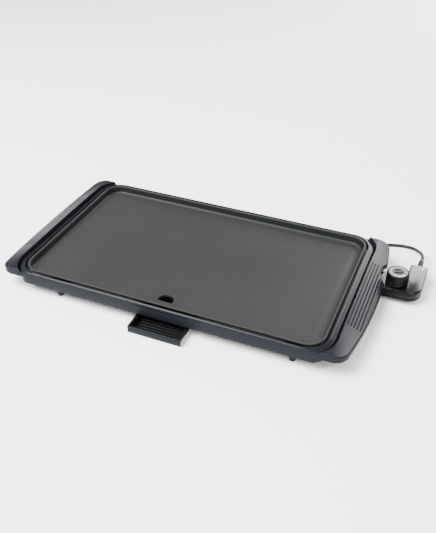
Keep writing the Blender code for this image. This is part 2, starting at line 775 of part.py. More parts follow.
def foot_tabs(frame):
    """Four tabs inside the skirt carry the feet and the plate's screws."""
    wall = FRAME_HALF_WIDTH - FRAME_WALL / 2
    for x in FOOT_X:
        for side in (-1, 1):
            ys = sorted((side * wall, side * (wall - TAB_DEPTH)))
            low = (x - TAB_HALF_LENGTH, ys[0], SKIRT_BOTTOM + 0.2)
            high = (x + TAB_HALF_LENGTH, ys[1], SKIRT_BOTTOM + TAB_THICKNESS)
            join(frame, box("foot_tab", low, high))
            y = side * FOOT_Y
            cut(frame, rod("foot_hole", STEM_RADIUS + GAP, (x, y, 0), (x, y, SKIRT_BOTTOM + 8), 12))
    for x, y in plate_screw_places().values():
        cut(frame, rod("frame_hole", SCREW_RADIUS + GAP, (x, y, 0), (x, y, SKIRT_BOTTOM + 8), 12))


def build_frame():
    frame = skirt_ring()
    join(frame, handle_shells())
    corner_bridges(frame)
    channel_webs(frame)
    foot_tabs(frame)
    ledge_low = (TRAY_X - TRAY_WIDTH / 2 - 8, -FRAME_HALF_WIDTH + 1, SKIRT_BOTTOM + 0.2)
    ledge_high = (TRAY_X + TRAY_WIDTH / 2 + 8, -FRAME_HALF_WIDTH + 10, SKIRT_BOTTOM + LEDGE_THICKNESS)
    join(frame, box("tray_ledge", ledge_low, ledge_high))
    slot_z = RIM_HEIGHT - SLOT_BELOW_RIM
    slot_low = (TRAY_X - SLOT_LENGTH / 2, -FRAME_HALF_WIDTH - 1, slot_z - SLOT_HEIGHT / 2)
    slot_high = (TRAY_X + SLOT_LENGTH / 2, -FRAME_HALF_WIDTH + SLOT_DEPTH, slot_z + SLOT_HEIGHT / 2)
    cut(frame, box("front_slot", slot_low, slot_high))
    reach = CONTROL_HALF_WIDTH + 1
    tunnel_low = (OPENING_HALF_LENGTH - 2, CONTROL_Y - reach, 0)
    tunnel_high = (HANDLE_REACH + 2, CONTROL_Y + reach, CONTROL_TOP + 0.8)
    cut(frame, box("control_tunnel", tunnel_low, tunnel_high))
    cut(frame, rod("control_notch", NOTCH_RADIUS, (NOTCH_X, NOTCH_Y, 0), (NOTCH_X, NOTCH_Y, 70), 48))
    seat(frame, "phenolic")


def build_feet():
    for x, side in zip(FOOT_X, ("left", "right")):
        for y, row in ((-FOOT_Y, "front"), (FOOT_Y, "back")):
            profile = [
                (0, SKIRT_BOTTOM + TAB_THICKNESS + 1),
                (STEM_RADIUS, SKIRT_BOTTOM + TAB_THICKNESS + 1),
                (STEM_RADIUS, SKIRT_BOTTOM - GAP),
                (FOOT_RADIUS, SKIRT_BOTTOM - GAP),
                (FOOT_RADIUS, 2),
                (FOOT_RADIUS - 0.6, 0.6),
                (FOOT_RADIUS - 2, 0),
                (0, 0),
            ]
            seat(turned(f"foot_{row}_{side}", profile, (x, y, 0), steps=16), "rubber")


def build_plate_screws():
    for name, (x, y) in plate_screw_places().items():
        low = SKIRT_BOTTOM + TAB_THICKNESS + GAP
        spacer = rod(f"plate_spacer_{name}", 5, (x, y, low), (x, y, PLATE_UNDERSIDE - GAP), 16)
        cut(spacer, rod("spacer_hole", SCREW_RADIUS + GAP, (x, y, 0), (x, y, RIM_HEIGHT), 12))
        seat(spacer, "ceramic")
        seat(make_screw(f"plate_screw_{name}", x, y, SKIRT_BOTTOM - GAP, FLOOR_TOP - 1.3), "steel")


# ---------------------------------------------------------------- drip tray


def build_tray_support():
    """A shelf behind the skirt with a spout under the drain and a rail down each side of the tray."""
    half = TRAY_WIDTH / 2 + 0.6 + RAIL_WALL
    front = -FRAME_HALF_WIDTH + FRAME_WALL + GAP + 0.7
    back = -FRAME_HALF_WIDTH + SUPPORT_DEPTH
    top = SUPPORT_BOTTOM + SUPPORT_THICKNESS
    support = box("tray_support", (TRAY_X - half, front, SUPPORT_BOTTOM), (TRAY_X + half, back, top))
    rail_front = -FRAME_HALF_WIDTH + 11
    lip_top = TRAY_TOP - FLANGE_THICKNESS - 0.4
    body_half = TRAY_WIDTH / 2 - FLANGE_WIDTH
    for side in (-1, 1):
        web = sorted((TRAY_X + side * (half - RAIL_WALL), TRAY_X + side * half))
        join(support, box("rail_web", (web[0], rail_front, lip_top - 1.5), (web[1], back, SUPPORT_BOTTOM + 1)))
        lip = sorted((TRAY_X + side * (body_half + 0.5), TRAY_X + side * (half - 0.5)))
        join(support, box("rail_lip", (lip[0], rail_front, lip_top - 1.5), (lip[1], back, lip_top)))
    spout = DRAIN_RADIUS + 0.7
    spout_bottom = TRAY_TOP + 1.8
    join(support, rod("spout", spout + SPOUT_WALL, (DRAIN_X, DRAIN_Y, spout_bottom), (DRAIN_X, DRAIN_Y, top), 24))
    cut(support, rod("spout_hole", spout, (DRAIN_X, DRAIN_Y, 0), (DRAIN_X, DRAIN_Y, RIM_HEIGHT), 24))
    for name, (x, y) in support_screw_places().items():
        cut(support, rod("support_hole", SCREW_RADIUS + GAP, (x, y, 0), (x, y, RIM_HEIGHT), 12))
        seat(make_screw(f"support_screw_{name}", x, y, SUPPORT_BOTTOM - GAP, FLOOR_TOP - 1.3), "steel")
    seat(support, "black_plastic")


def build_tray():
    """An open tray with side flanges that hang in the rails, a full-width front and ribs on its floor."""
    half = TRAY_WIDTH / 2 - FLANGE_WIDTH
    front, back = TRAY_FRONT_Y, TRAY_FRONT_Y + TRAY_DEPTH
    tray = box("drip_tray", (TRAY_X - half, front + 0.5, TRAY_BOTTOM), (TRAY_X + half, back, TRAY_TOP))
    flange_low = (TRAY_X - TRAY_WIDTH / 2, front + 0.5, TRAY_TOP - FLANGE_THICKNESS)
    flange_high = (TRAY_X + TRAY_WIDTH / 2, back, TRAY_TOP)
    face_low = (TRAY_X - TRAY_WIDTH / 2, front, TRAY_BOTTOM)
    face_high = (TRAY_X + TRAY_WIDTH / 2, front + 2, TRAY_TOP)
    join(tray, box("tray_flange", flange_low, flange_high), box("tray_face", face_low, face_high))
    well_low = (TRAY_X - half + TRAY_WALL, front + 2 + TRAY_WALL / 2, TRAY_BOTTOM + TRAY_WALL)
    well_high = (TRAY_X + half - TRAY_WALL, back - TRAY_WALL, TRAY_TOP + 1)
    cut(tray, box("tray_well", well_low, well_high))
    for i in range(6):
        y = front + 10 + i * 12
        low = (TRAY_X - half + 6, y, TRAY_BOTTOM + TRAY_WALL / 2)
        high = (TRAY_X + half - 6, y + 1.4, TRAY_BOTTOM + TRAY_WALL + 1.4)
        join(tray, box("tray_rib", low, high))
    seat(tray, "black_plastic", TRAY_SLIDE)


# ---------------------------------------------------------------- control


def control_outline(inset):
    """The control from above: a body in front of the arm that runs back to the cord."""
    front = CONTROL_Y - CONTROL_HALF_WIDTH + inset
    back = CONTROL_Y + CONTROL_HALF_WIDTH - inset
    start, end = CONTROL_START_X + inset, CONTROL_END_X - inset
    arm_start = CONTROL_END_X - ARM_WIDTH + inset
    arm_back = ARM_BACK_Y - inset
    corners = [
        (start, front, 0),
        (end, front, CONTROL_CORNER - inset),
        (end, arm_back, 6 - inset),
        (arm_start, arm_back, 5 - inset),
        (arm_start, back, 3 + inset),
        (start, back, 0),
    ]
    return round_corners(corners)


def control_screw_places():
    """Two screws in the body, clear of the contacts and the dial, and one in the arm."""
    back = CONTROL_Y + CONTROL_HALF_WIDTH - CONTROL_WALL - 2.2
    front = CONTROL_Y - CONTROL_HALF_WIDTH + CONTROL_WALL + 9
    arm = CONTROL_END_X - ARM_WIDTH + CONTROL_WALL + 4
    places = {"left": (CONTROL_START_X + 34, back), "right": (CONTROL_END_X - 13, front)}
    places["arm"] = (arm, ARM_BACK_Y - 8)
    return places


def relief_hole():
    """The round hole in the arm's end wall that the strain relief's neck fills."""
    start = (RELIEF_X, ARM_BACK_Y - CONTROL_WALL - 1, HEAT_LINE_Z)
    return rod("relief_hole", RELIEF_NECK + GAP, start, (RELIEF_X, ARM_BACK_Y + 1, HEAT_LINE_Z), 16)


def build_lower_housing():
    split = CONTROL_SPLIT - GAP / 2
    lower = prism("control_lower_housing", control_outline(0), CONTROL_BOTTOM, split)
    cut(lower, prism("lower_hollow", control_outline(CONTROL_WALL), CONTROL_BOTTOM + CONTROL_WALL, split + 5))
    for x, y in control_screw_places().values():
        join(lower, rod("lower_boss", 3.2, (x, y, CONTROL_BOTTOM + 1), (x, y, split), 12))
    for x, y in control_screw_places().values():
        cut(lower, rod("lower_hole", SCREW_RADIUS + GAP, (x, y, 0), (x, y, split + 5), 12))
    seat(lower, "black_plastic", CONTROL_SLIDE)


def build_upper_housing():
    split = CONTROL_SPLIT + GAP / 2
    upper = prism("control_upper_housing", control_outline(0), split, CONTROL_TOP)
    cut(upper, prism("upper_hollow", control_outline(CONTROL_WALL), split - 5, CONTROL_TOP - CONTROL_WALL))
    for x, y in control_screw_places().values():
        join(upper, rod("upper_boss", 3.2, (x, y, split), (x, y, CONTROL_TOP - 1), 12))
    for x, y in control_screw_places().values():
        cut(upper, rod("upper_hole", SCREW_RADIUS + GAP, (x, y, 0), (x, y, CONTROL_TOP - 2.5), 12))
    start, end = CONTROL_START_X - 1, CONTROL_START_X + CONTROL_WALL + 2
    for y in TERMINAL_YS.values():
        cut(upper, bar_along_x("pin_entry", PIN_RADIUS + 0.6, start, end, y, 12))
    cut(upper, bar_along_x("probe_entry", PROBE_RADIUS + GAP, start, end, CONTROL_Y))
    for name, radius, x, y in (
        ("shaft_hole", SHAFT_RADIUS + 0.8, KNOB_X, CONTROL_Y),
        ("lens_hole", LENS_RADIUS + GAP, LENS_X, LENS_Y),
    ):
        cut(upper, rod(name, radius, (x, y, split), (x, y, CONTROL_TOP + 1), 16))
    cut(upper, relief_hole())
    seat(upper, "black_plastic", CONTROL_SLIDE)


def build_contacts():
    """The sleeves that take the pins, the probe between them and the block that holds all three."""
    block_x = CONTROL_START_X + 12
    block_end = block_x + BLOCK_THICKNESS
    half = CONTROL_HALF_WIDTH - CONTROL_WALL - GAP
    low = (block_x, CONTROL_Y - half, CONTROL_BOTTOM + CONTROL_WALL + GAP)
    high = (block_end, CONTROL_Y + half, CONTROL_TOP - CONTROL_WALL - GAP)
    block = box("terminal_block", low, high)
    start = CONTROL_START_X + CONTROL_WALL + GAP
    end = start + SLEEVE_LENGTH
    outer = SLEEVE_BORE + SLEEVE_WALL
    for name, y in TERMINAL_YS.items():
        sleeve = bar_along_x(f"terminal_sleeve_{name}", outer, start, end, y)
        cut(sleeve, bar_along_x("sleeve_bore", SLEEVE_BORE, start - 1, end - 3, y))
        seat(sleeve, "brass", CONTROL_SLIDE)
        cut(block, bar_along_x("block_hole", outer + GAP, block_x - 1, block_end + 1, y))
    cut(block, bar_along_x("probe_hole", PROBE_RADIUS + GAP, block_x - 1, block_end + 1, CONTROL_Y))
    seat(block, "ceramic", CONTROL_SLIDE)
    probe_end = block_end + 2
    probe = bar_along_x("sensor_probe", PROBE_RADIUS, probe_end - PROBE_LENGTH, probe_end, CONTROL_Y, 16, 0.8)
    seat(probe, "steel", CONTROL_SLIDE)


def build_thermostat():
    """A bracket round the dial's shaft carries the bimetal strip and the arm that it pushes."""
    floor = CONTROL_BOTTOM + CONTROL_WALL + GAP
    start = KNOB_X - 19
    bracket = box("thermostat_bracket", (start, CONTROL_Y - 12, floor), (KNOB_X + 19, CONTROL_Y + 11, floor + 1.2))
    join(bracket, box("bracket_post", (start, CONTROL_Y - 12, floor + 0.5), (start + 1.2, CONTROL_Y + 8, floor + 12)))
    cut(bracket, rod("bracket_hole", SHAFT_RADIUS + GAP, (KNOB_X, CONTROL_Y, 0), (KNOB_X, CONTROL_Y, floor + 3), 16))
    seat(bracket, "steel", CONTROL_SLIDE)
    strip_start = start + 1.2 + GAP
    strip_low = (strip_start, CONTROL_Y - 11.5, floor + 4)
    seat(box("bimetal_strip", strip_low, (strip_start + 32, CONTROL_Y - 7.5, floor + 4.9)), "brass", CONTROL_SLIDE)
    arm_low = (strip_start, CONTROL_Y - 11.5, floor + 7)
    seat(box("contact_arm", arm_low, (strip_start + 29, CONTROL_Y - 7.5, floor + 7.7)), "brass", CONTROL_SLIDE)


def build_lamp():
    lens = [(0, CONTROL_TOP + 0.9), (LENS_RADIUS * 0.7, CONTROL_TOP + 0.6), (LENS_RADIUS, CONTROL_TOP)]
    lens += [(LENS_RADIUS, CONTROL_TOP - 2.2), (0, CONTROL_TOP - 2.2)]
    seat(turned("indicator_lens", lens, (LENS_X, LENS_Y, 0), steps=16), "lens", CONTROL_SLIDE)
    lamp_z = CONTROL_TOP - 6.5
    lamp = rod("neon_lamp", 2.4, (LENS_X, LENS_Y - 14, lamp_z), (LENS_X, LENS_Y - 1, lamp_z), 12, 0.8)
    seat(lamp, "lens", CONTROL_SLIDE)


def build_control_screws():
    for name, (x, y) in control_screw_places().items():
        screw = make_screw(f"control_screw_{name}", x, y, CONTROL_BOTTOM - GAP, CONTROL_TOP - 3)
        seat(screw, "steel", CONTROL_SLIDE)


def build_dial():
    base = CONTROL_TOP + GAP
    top = CONTROL_TOP + KNOB_HEIGHT
    recess = top - DIAL_PLATE_THICKNESS + 0.2
    inner = KNOB_RADIUS - KNOB_WALL
    bore_top = recess - 3
    profile = [
        (0, recess),
        (DIAL_PLATE_RADIUS + GAP, recess),
        (DIAL_PLATE_RADIUS + GAP, top),
        (KNOB_RADIUS - 1.4, top),
        (KNOB_RADIUS - 0.6, top - 0.8),
        (KNOB_RADIUS, base),
        (inner, base),
        (inner, recess - 2.2),
        (SHAFT_RADIUS + 2.8, recess - 2.2),
        (SHAFT_RADIUS + 2.8, base + 2),
        (SHAFT_RADIUS + GAP, base + 2),
        (SHAFT_RADIUS + GAP, bore_top),
        (0, bore_top),
    ]
    place = (KNOB_X, CONTROL_Y, 0)
    seat(turned("dial_knob", profile, place, steps=32), "black_plastic", DIAL_AXIS)
    plate_low = recess + GAP
    plate_high = plate_low + DIAL_PLATE_THICKNESS
    plate = rod("dial_plate", DIAL_PLATE_RADIUS, (*place[:2], plate_low), (*place[:2], plate_high), 32)
    seat(plate, "dial_print", DIAL_AXIS)
    cam = CONTROL_BOTTOM + CONTROL_WALL + 9
    shaft = [
        (0, bore_top - GAP),
        (SHAFT_RADIUS, bore_top - GAP),
        (SHAFT_RADIUS, cam + 2),
        (6, cam + 2),
        (6, cam),
        (SHAFT_RADIUS, cam),
        (SHAFT_RADIUS, CONTROL_BOTTOM + CONTROL_WALL + 1),
        (0, CONTROL_BOTTOM + CONTROL_WALL + 1),
    ]
    seat(turned("dial_shaft", shaft, place, steps=16), "steel", DIAL_AXIS)


# ---------------------------------------------------------------- cord, hank and plug


def smooth_route(points, spacing):
    """Points read at even steps from the smooth curve through the route's own points."""
    route = [Vector(p) for p in points]
    ends = [route[0] * 2 - route[1], *route, route[-1] * 2 - route[-2]]
    fine = []
    for a, b, c, d in zip(ends, ends[1:], ends[2:], ends[3:]):
        for i in range(20):
            t = i / 20
            square = (2 * a - 5 * b + 4 * c - d) * t * t
            cube = (3 * b - a - 3 * c + d) * t**3
            fine.append((2 * b + (c - a) * t + square + cube) / 2)
    fine.append(route[-1])
    length = sum((q - p).length for p, q in zip(fine, fine[1:]))
    count = max(2, round(length / spacing))
    picked, walked, target = [fine[0]], 0.0, length / count
    for p, q in zip(fine, fine[1:]):
        step = (q - p).length
        while walked + step >= target - 1e-6 and len(picked) < count:
            picked.append(p.lerp(q, (target - walked) / step))
            target += length / count
        walked += step
    picked.append(fine[-1])
    return picked


def cord_route():
    """From the strain relief out and down to the table, then along behind the griddle to the hank."""
    return [
        (RELIEF_X, ARM_BACK_Y + RELIEF_LENGTH + 2 * GAP, HEAT_LINE_Z),
        (RELIEF_X, 156, HEAT_LINE_Z),
        (340.6, 162, 19.5),
        (338.2, 170, 17.6),
        (334, 180.5, 14.4),
        (327, 192, 10),
        (318, 202, 6),
        (306, 206.5, 3.6),
        (290, 204.5, 3.1),
        (270, 198, 3.1),
        (250, 192.5, 3.1),
        (228, 189.8, 3.1),
        (204, 189.5, 3.4),
        (HANK_RIGHT_X + 14.6, HANK_Y + HANK_FOLD, HANK_BOTTOM + CORD_RADIUS),
    ]


def tail_route():
    """From the hank's front run out to the plug."""
    top = HANK_BOTTOM + CORD_RADIUS * 3
    return [
        (HANK_RIGHT_X + 14.6, HANK_Y - HANK_FOLD, top),
        (185, 154.2, 9.7),
        (191, 156.6, 8.8),
        (197, 158.7, 7.5),
        (202, PLUG_Y - 0.1, PLUG_BOTTOM + PLUG_HEIGHT / 2 + 0.1),
        (PLUG_X - PLUG_COLLAR - 2 * GAP, PLUG_Y, PLUG_BOTTOM + PLUG_HEIGHT / 2),
    ]


def hank_outline(extra):
    """The racetrack that the cord's turns follow, a distance out from its middle line."""
    radius = HANK_FOLD + extra
    right = arc_points((HANK_RIGHT_X, HANK_Y), radius, -90, 90, 12)
    left = arc_points((HANK_RIGHT_X - HANK_RUN, HANK_Y), radius, 90, 270, 12)
    return right + left


def build_relief():
    """A boot held in the arm's end wall: a block with two ribs, then a tapered tail round the cord."""
    back = ARM_BACK_Y + GAP

    def slab(name, half, start, end):
        low = (RELIEF_X - half, start, HEAT_LINE_Z - half)
        return box(name, low, (RELIEF_X + half, end, HEAT_LINE_Z + half))

    relief = slab("strain_relief", RELIEF_HALF - 1, back, back + 15)
    for start in (0, 5.6, 11.2):
        join(relief, slab("relief_rib", RELIEF_HALF, back + start, back + start + 2.8))
    inner_face = ARM_BACK_Y - CONTROL_WALL - GAP
    neck_start = (RELIEF_X, inner_face - 1, HEAT_LINE_Z)
    join(relief, rod("relief_neck", RELIEF_NECK, neck_start, (RELIEF_X, back + 2, HEAT_LINE_Z), 16))
    join(relief, slab("relief_lock", 4.2, inner_face - 1.8, inner_face))
    tail_start = (RELIEF_X, back + 10, HEAT_LINE_Z)
    tail_end = (RELIEF_X, back + RELIEF_LENGTH, HEAT_LINE_Z)
    join(relief, rod("relief_tail", CORD_RADIUS + 1, tail_start, tail_end, 16))
    seat(relief, "rubber", CONTROL_SLIDE)


def build_cord():
    route = smooth_route(cord_route(), CORD_RADIUS * 4)
    seat(tube("power_cord", route, CORD_RADIUS), "cord", CONTROL_SLIDE)
    tail = smooth_route(tail_route(), CORD_RADIUS * 3)
    seat(tube("cord_tail", tail, CORD_RADIUS), "cord", CONTROL_SLIDE)
    top = HANK_BOTTOM + HANK_LAYERS * 2 * CORD_RADIUS
    hank = prism("cord_hank", hank_outline(CORD_RADIUS), HANK_BOTTOM, top)
    cut(hank, prism("hank_middle", hank_outline(-CORD_RADIUS), HANK_BOTTOM - 1, top + 1))
    seat(hank, "cord", CONTROL_SLIDE)
    middle = HANK_RIGHT_X - HANK_RUN / 2
    reach = HANK_FOLD + CORD_RADIUS + GAP
    outer_low = (middle - TIE_WIDTH / 2, HANK_Y - reach - TIE_THICKNESS, HANK_BOTTOM - GAP - TIE_THICKNESS)
    outer_high = (middle + TIE_WIDTH / 2, HANK_Y + reach + TIE_THICKNESS, top + GAP + TIE_THICKNESS)
    tie = box("cord_tie", outer_low, outer_high)
    inside_low = (middle - TIE_WIDTH, HANK_Y - reach, HANK_BOTTOM - GAP)
    cut(tie, box("tie_inside", inside_low, (middle + TIE_WIDTH, HANK_Y + reach, top + GAP)))
    seat(tie, "rubber", CONTROL_SLIDE)


def build_plug():
    """A flat two-blade plug that lies beside the hank."""
    half = PLUG_WIDTH / 2
    bottom = PLUG_BOTTOM
    corners = [
        (PLUG_X, PLUG_Y - 5, 1.5),
        (PLUG_X + 10, PLUG_Y - half, 6),
        (PLUG_X + PLUG_LENGTH, PLUG_Y - half, 2),
        (PLUG_X + PLUG_LENGTH, PLUG_Y + half, 2),
        (PLUG_X + 10, PLUG_Y + half, 6),
        (PLUG_X, PLUG_Y + 5, 1.5),
    ]
    body = prism("plug_body", round_corners(corners), bottom, bottom + PLUG_HEIGHT)
    add_bevel(body, 1.4)
    middle = bottom + PLUG_HEIGHT / 2
    collar = rod("plug_collar", 4.6, (PLUG_X - PLUG_COLLAR, PLUG_Y, middle), (PLUG_X + 3, PLUG_Y, middle), 12)
    join(body, collar)
    for name, side in (("front", -1), ("back", 1)):
        y = PLUG_Y + side * BLADE_PITCH / 2
        start = PLUG_X + PLUG_LENGTH - 6
        low = (start, y - 0.75, middle - 3.2)
        high = (start + 6 + BLADE_LENGTH, y + 0.75, middle + 3.2)
        grown = Vector((GAP, GAP, GAP))
        cut(body, box("blade_pocket", Vector(low) - grown, Vector(high) + grown))
        seat(box(f"plug_blade_{name}", low, high), "brass", CONTROL_SLIDE)
    seat(body, "rubber", CONTROL_SLIDE)


build_plate()
build_element()
build_guard()
build_frame()
build_feet()
build_plate_screws()
build_tray_support()
build_tray()
build_lower_housing()
build_upper_housing()
build_contacts()
build_thermostat()
build_lamp()
build_control_screws()
build_dial()
build_relief()
build_cord()
build_plug()
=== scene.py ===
import math

import bmesh
import bpy
import numpy as np
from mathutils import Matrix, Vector


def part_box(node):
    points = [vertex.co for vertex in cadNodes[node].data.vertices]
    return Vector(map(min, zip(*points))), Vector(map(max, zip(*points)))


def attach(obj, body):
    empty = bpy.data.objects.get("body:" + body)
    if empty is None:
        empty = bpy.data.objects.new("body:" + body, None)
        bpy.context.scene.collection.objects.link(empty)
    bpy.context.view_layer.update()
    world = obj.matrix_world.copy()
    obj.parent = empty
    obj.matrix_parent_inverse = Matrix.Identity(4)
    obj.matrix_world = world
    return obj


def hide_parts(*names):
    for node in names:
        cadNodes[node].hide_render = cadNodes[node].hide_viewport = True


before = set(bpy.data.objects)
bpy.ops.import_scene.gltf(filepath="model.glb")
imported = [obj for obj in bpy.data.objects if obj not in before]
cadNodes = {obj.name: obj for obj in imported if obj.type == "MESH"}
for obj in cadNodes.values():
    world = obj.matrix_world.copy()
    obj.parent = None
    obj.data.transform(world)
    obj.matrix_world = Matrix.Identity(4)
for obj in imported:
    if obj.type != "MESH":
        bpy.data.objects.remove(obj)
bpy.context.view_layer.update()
mm = 0.001
plateLow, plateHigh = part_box("griddle_plate")
# every length below is in millimetres about the point on the table under the middle of the plate
middle = np.array([(plateLow.x + plateHigh.x) / 2, (plateLow.y + plateHigh.y) / 2, 0.0])


def stacked(x, y, z):  # three arrays or numbers as one array of points
    return np.stack(np.broadcast_arrays(x, y, z), -1)


def link(thing):
    bpy.context.scene.collection.objects.link(thing)


def metres(points):  # millimetres about the middle of the plate, to the frame's metres
    return np.asarray(points, float) * mm + middle


def boxMillimetres(node):  # a node's lowest and highest corner in the same millimetres
    low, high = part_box(node)
    return (np.array(low) - middle) / mm, (np.array(high) - middle) / mm


cameraSettings = {"stands": (392.7, -859.7, 699.1), "looksAt": (42.67, -24.95, 41.0), "lens": 46.95}


def makeCamera():
    data = bpy.data.cameras.new("camera")
    data.lens = cameraSettings["lens"]
    data.sensor_width = 36
    data.sensor_fit = "AUTO"
    camera = bpy.data.objects.new("camera", data)
    stands = Vector(metres(cameraSettings["stands"]))
    looksAt = Vector(metres(cameraSettings["looksAt"]))
    camera.location = stands
    camera.rotation_euler = (looksAt - stands).to_track_quat("-Z", "Y").to_euler()
    link(camera)
    bpy.context.scene.camera = camera


makeCamera()
print("camera set")


class Wire:  # a socket's value; arithmetic on it adds Math nodes
    def __init__(self, finish, socket):
        self.finish, self.socket = finish, socket

    def maths(self, operation, first, second=0.0):
        return self.finish.add("ShaderNodeMath", {"operation": operation}, {0: first, 1: second})

    def __add__(self, other):
        return self.maths("ADD", self, other)

    def __sub__(self, other):
        return self.maths("SUBTRACT", self, other)

    def __rsub__(self, other):
        return self.maths("SUBTRACT", other, self)

    def __mul__(self, other):
        return self.maths("MULTIPLY", self, other)

    def __gt__(self, other):
        return self.maths("GREATER_THAN", self, other)

    def __lt__(self, other):
        return self.maths("LESS_THAN", self, other)

    __radd__, __rmul__ = __add__, __mul__

    def of(self, operation, other=0.0):  # any one-input or two-input Math node
        return self.maths(operation, self, other)


class Finish:  # one material round a Principled shader
    def __init__(self, name, **constants):
        self.material = bpy.data.materials.new(name)
        self.material.use_nodes = True
        self.nodes = self.material.node_tree.nodes
        self.links = self.material.node_tree.links
        self.nodes.clear()
        self.shader = self.nodes.new("ShaderNodeBsdfPrincipled")
        output = self.nodes.new("ShaderNodeOutputMaterial")
        self.links.new(self.shader.outputs[0], output.inputs[0])
        for socket, value in constants.items():
            self.shader.inputs[socket.replace("_", " ")].default_value = value
        self.place = self.add("ShaderNodeTexCoord", {}, {}, 3)

    def add(self, kind, settings, sockets, output=0):
        made = self.nodes.new(kind)
        for key, value in settings.items():
            setattr(made, key, value)
        for key, value in sockets.items():
            if isinstance(value, Wire):
                self.links.new(value.socket, made.inputs[key])
            else:
                made.inputs[key].default_value = value
        return Wire(self, made.outputs[output])

    def noise(self, perMetre, detail=2.0, place=None):  # noise, perMetre cells to the metre
        return self.add("ShaderNodeTexNoise", {},
                        {"Vector": place or self.place, "Scale": perMetre, "Detail": detail})

    def between(self, amount, first, second):  # colour mix
        return self.add("ShaderNodeMix", {"data_type": "RGBA"}, {0: amount, 6: first, 7: second}, 2)

    def remap(self, value, low, high, toLow, toHigh):
        return self.add("ShaderNodeMapRange", {}, {0: value, 1: low, 2: high, 3: toLow, 4: toHigh})

    def scaled(self, centre=(0, 0, 0), scale=(1, 1, 1)):  # Object coordinates centred or stretched
        location = tuple(-c * s for c, s in zip(centre, scale))
        return self.add("ShaderNodeMapping", {}, {0: self.place, 1: location, 3: scale})

    def feed(self, socket, value):
        self.links.new(value.socket, self.shader.inputs[socket])

    def bump(self, height, distance, strength):
        return self.add("ShaderNodeBump", {}, {"Strength": strength, "Distance": distance, "Height": height})

    def axis(self, number, place=None):  # one coordinate, 0 to 2, of a place
        return self.add("ShaderNodeSeparateXYZ", {}, {0: place or self.place}, number)


def mouldedFinish(name, colour, lighter, roughness, grain, depth, wear, shine):
    # moulded plastic: fine grain from the mould, cloudy gloss and a little settled dust
    finish = Finish(name, IOR=1.5, Specular_IOR_Level=shine)
    cloud = finish.noise(14, 3)
    fine = finish.noise(grain, 3)
    dust = finish.noise(420, 4).of("POWER", 5.0) * wear
    finish.feed("Base Color", finish.between(cloud * 0.7 + dust, (*colour, 1), (*lighter, 1)))
    finish.feed("Roughness", finish.remap(cloud * 0.6 + fine * 0.4, 0.25, 0.75,
                                          roughness * 0.82, roughness * 1.25))
    finish.feed("Normal", finish.bump(fine, depth, 0.6))
    return finish.material


def nonStickFinish():
    # sprayed coating: dark grey with pale and dark flecks about half a millimetre across
    finish = Finish("nonStick", IOR=1.45, Specular_IOR_Level=0.12)
    flecks = finish.noise(1500, 2)
    cloud = finish.noise(9, 4)
    pale = finish.remap(flecks, 0.60, 0.72, 0.0, 1.0)
    dark = finish.remap(flecks, 0.40, 0.30, 0.0, 1.0)
    body = finish.between(cloud, (0.0145, 0.0154, 0.0146, 1), (0.0190, 0.0200, 0.0190, 1))
    body = finish.between(pale * 0.55, body, (0.060, 0.062, 0.058, 1))
    body = finish.between(dark * 0.5, body, (0.010, 0.011, 0.0105, 1))
    height = finish.axis(2)  # in metres: the walls stand between the pan's floor and the rim's top
    # painted shade: the coating's colour is darkened by height on the pan's steep walls
    wallShade = finish.remap(height, 0.0301, 0.0313, 0.0, 0.75) * finish.remap(height, 0.0396, 0.0407, 1.0, 0.0)
    body = finish.between(wallShade, body, (0.0030, 0.0042, 0.0038, 1))  # painted shade: the walls are made darker and greener
    finish.feed("Base Color", body)
    finish.feed("Roughness", finish.remap(cloud * 0.5 + flecks * 0.5, 0.3, 0.7, 0.40, 0.56))
    orange = finish.noise(480, 2)
    finish.feed("Normal", finish.bump(orange * 0.7 + flecks * 0.3, 0.00012, 0.55))
    return finish.material


def metalFinish(name, colour, darker, roughness, along):
    # drawn or turned metal: fine lines stretched along one axis, and a dulled cloud
    finish = Finish(name, Metallic=1.0)
    stretch = tuple(40 if axis == along else 2600 for axis in range(3))
    lines = finish.noise(1.0, 3, finish.scaled(scale=stretch))
    cloud = finish.noise(60, 3)
    finish.feed("Base Color", finish.between(cloud * 0.6 + lines * 0.3, colour, darker))
    finish.feed("Roughness", finish.remap(lines * 0.5 + cloud * 0.5, 0.3, 0.7,
                                          roughness * 0.75, roughness * 1.3))
    finish.feed("Normal", finish.bump(lines, 0.00002, 0.5))
    return finish.material


def ceramicFinish():
    finish = Finish("ceramicWhite", IOR=1.55)
    cloud = finish.noise(70, 3)
    finish.feed("Base Color", finish.between(cloud, (0.62, 0.60, 0.54, 1), (0.74, 0.72, 0.67, 1)))
    finish.feed("Roughness", finish.remap(cloud, 0.3, 0.7, 0.35, 0.55))
    finish.feed("Normal", finish.bump(finish.noise(900, 2), 0.00004, 0.5))
    return finish.material


def lensFinish():
    # pale lamp lens: milky, with a painted highlight that makes it lighter towards the top of the dome in its
    # middle
    low, high = boxMillimetres("indicator_lens")
    finish = Finish("lampLens", IOR=1.49, Transmission_Weight=0.25)
    level = finish.remap(finish.axis(2), low[2] * mm, high[2] * mm, 0.0, 1.0)
    finish.feed("Base Color", finish.between(level, (0.55, 0.55, 0.56, 1), (0.93, 0.93, 0.92, 1)))
    finish.feed("Roughness", finish.remap(finish.noise(900, 2), 0.3, 0.7, 0.10, 0.2))
    return finish.material


knob = {
    "radius": 18.0, "faceRadius": 15.2, "flutes": 40, "fluteDepth": 0.28, "barLean": 35.0,
    "ring": (8.6, 14.3), "arc": (9.4, 10.5), "ticksAt": (11.3, 13.7), "hot": (10.6, 13.9),  # from, to radius
    # degrees counter-clockwise from the front right
    "start": -45.0, "arcTurn": (30.0, 285.0), "tickTurn": (20.0, 301.0), "hotTurn": (22.0, 46.0),
    "ticks": 13, "sweep": 280, "tickShare": 0.34,
}
knobLow, knobHigh = boxMillimetres("dial_knob")
knobCentre = (knobLow + knobHigh) / 2


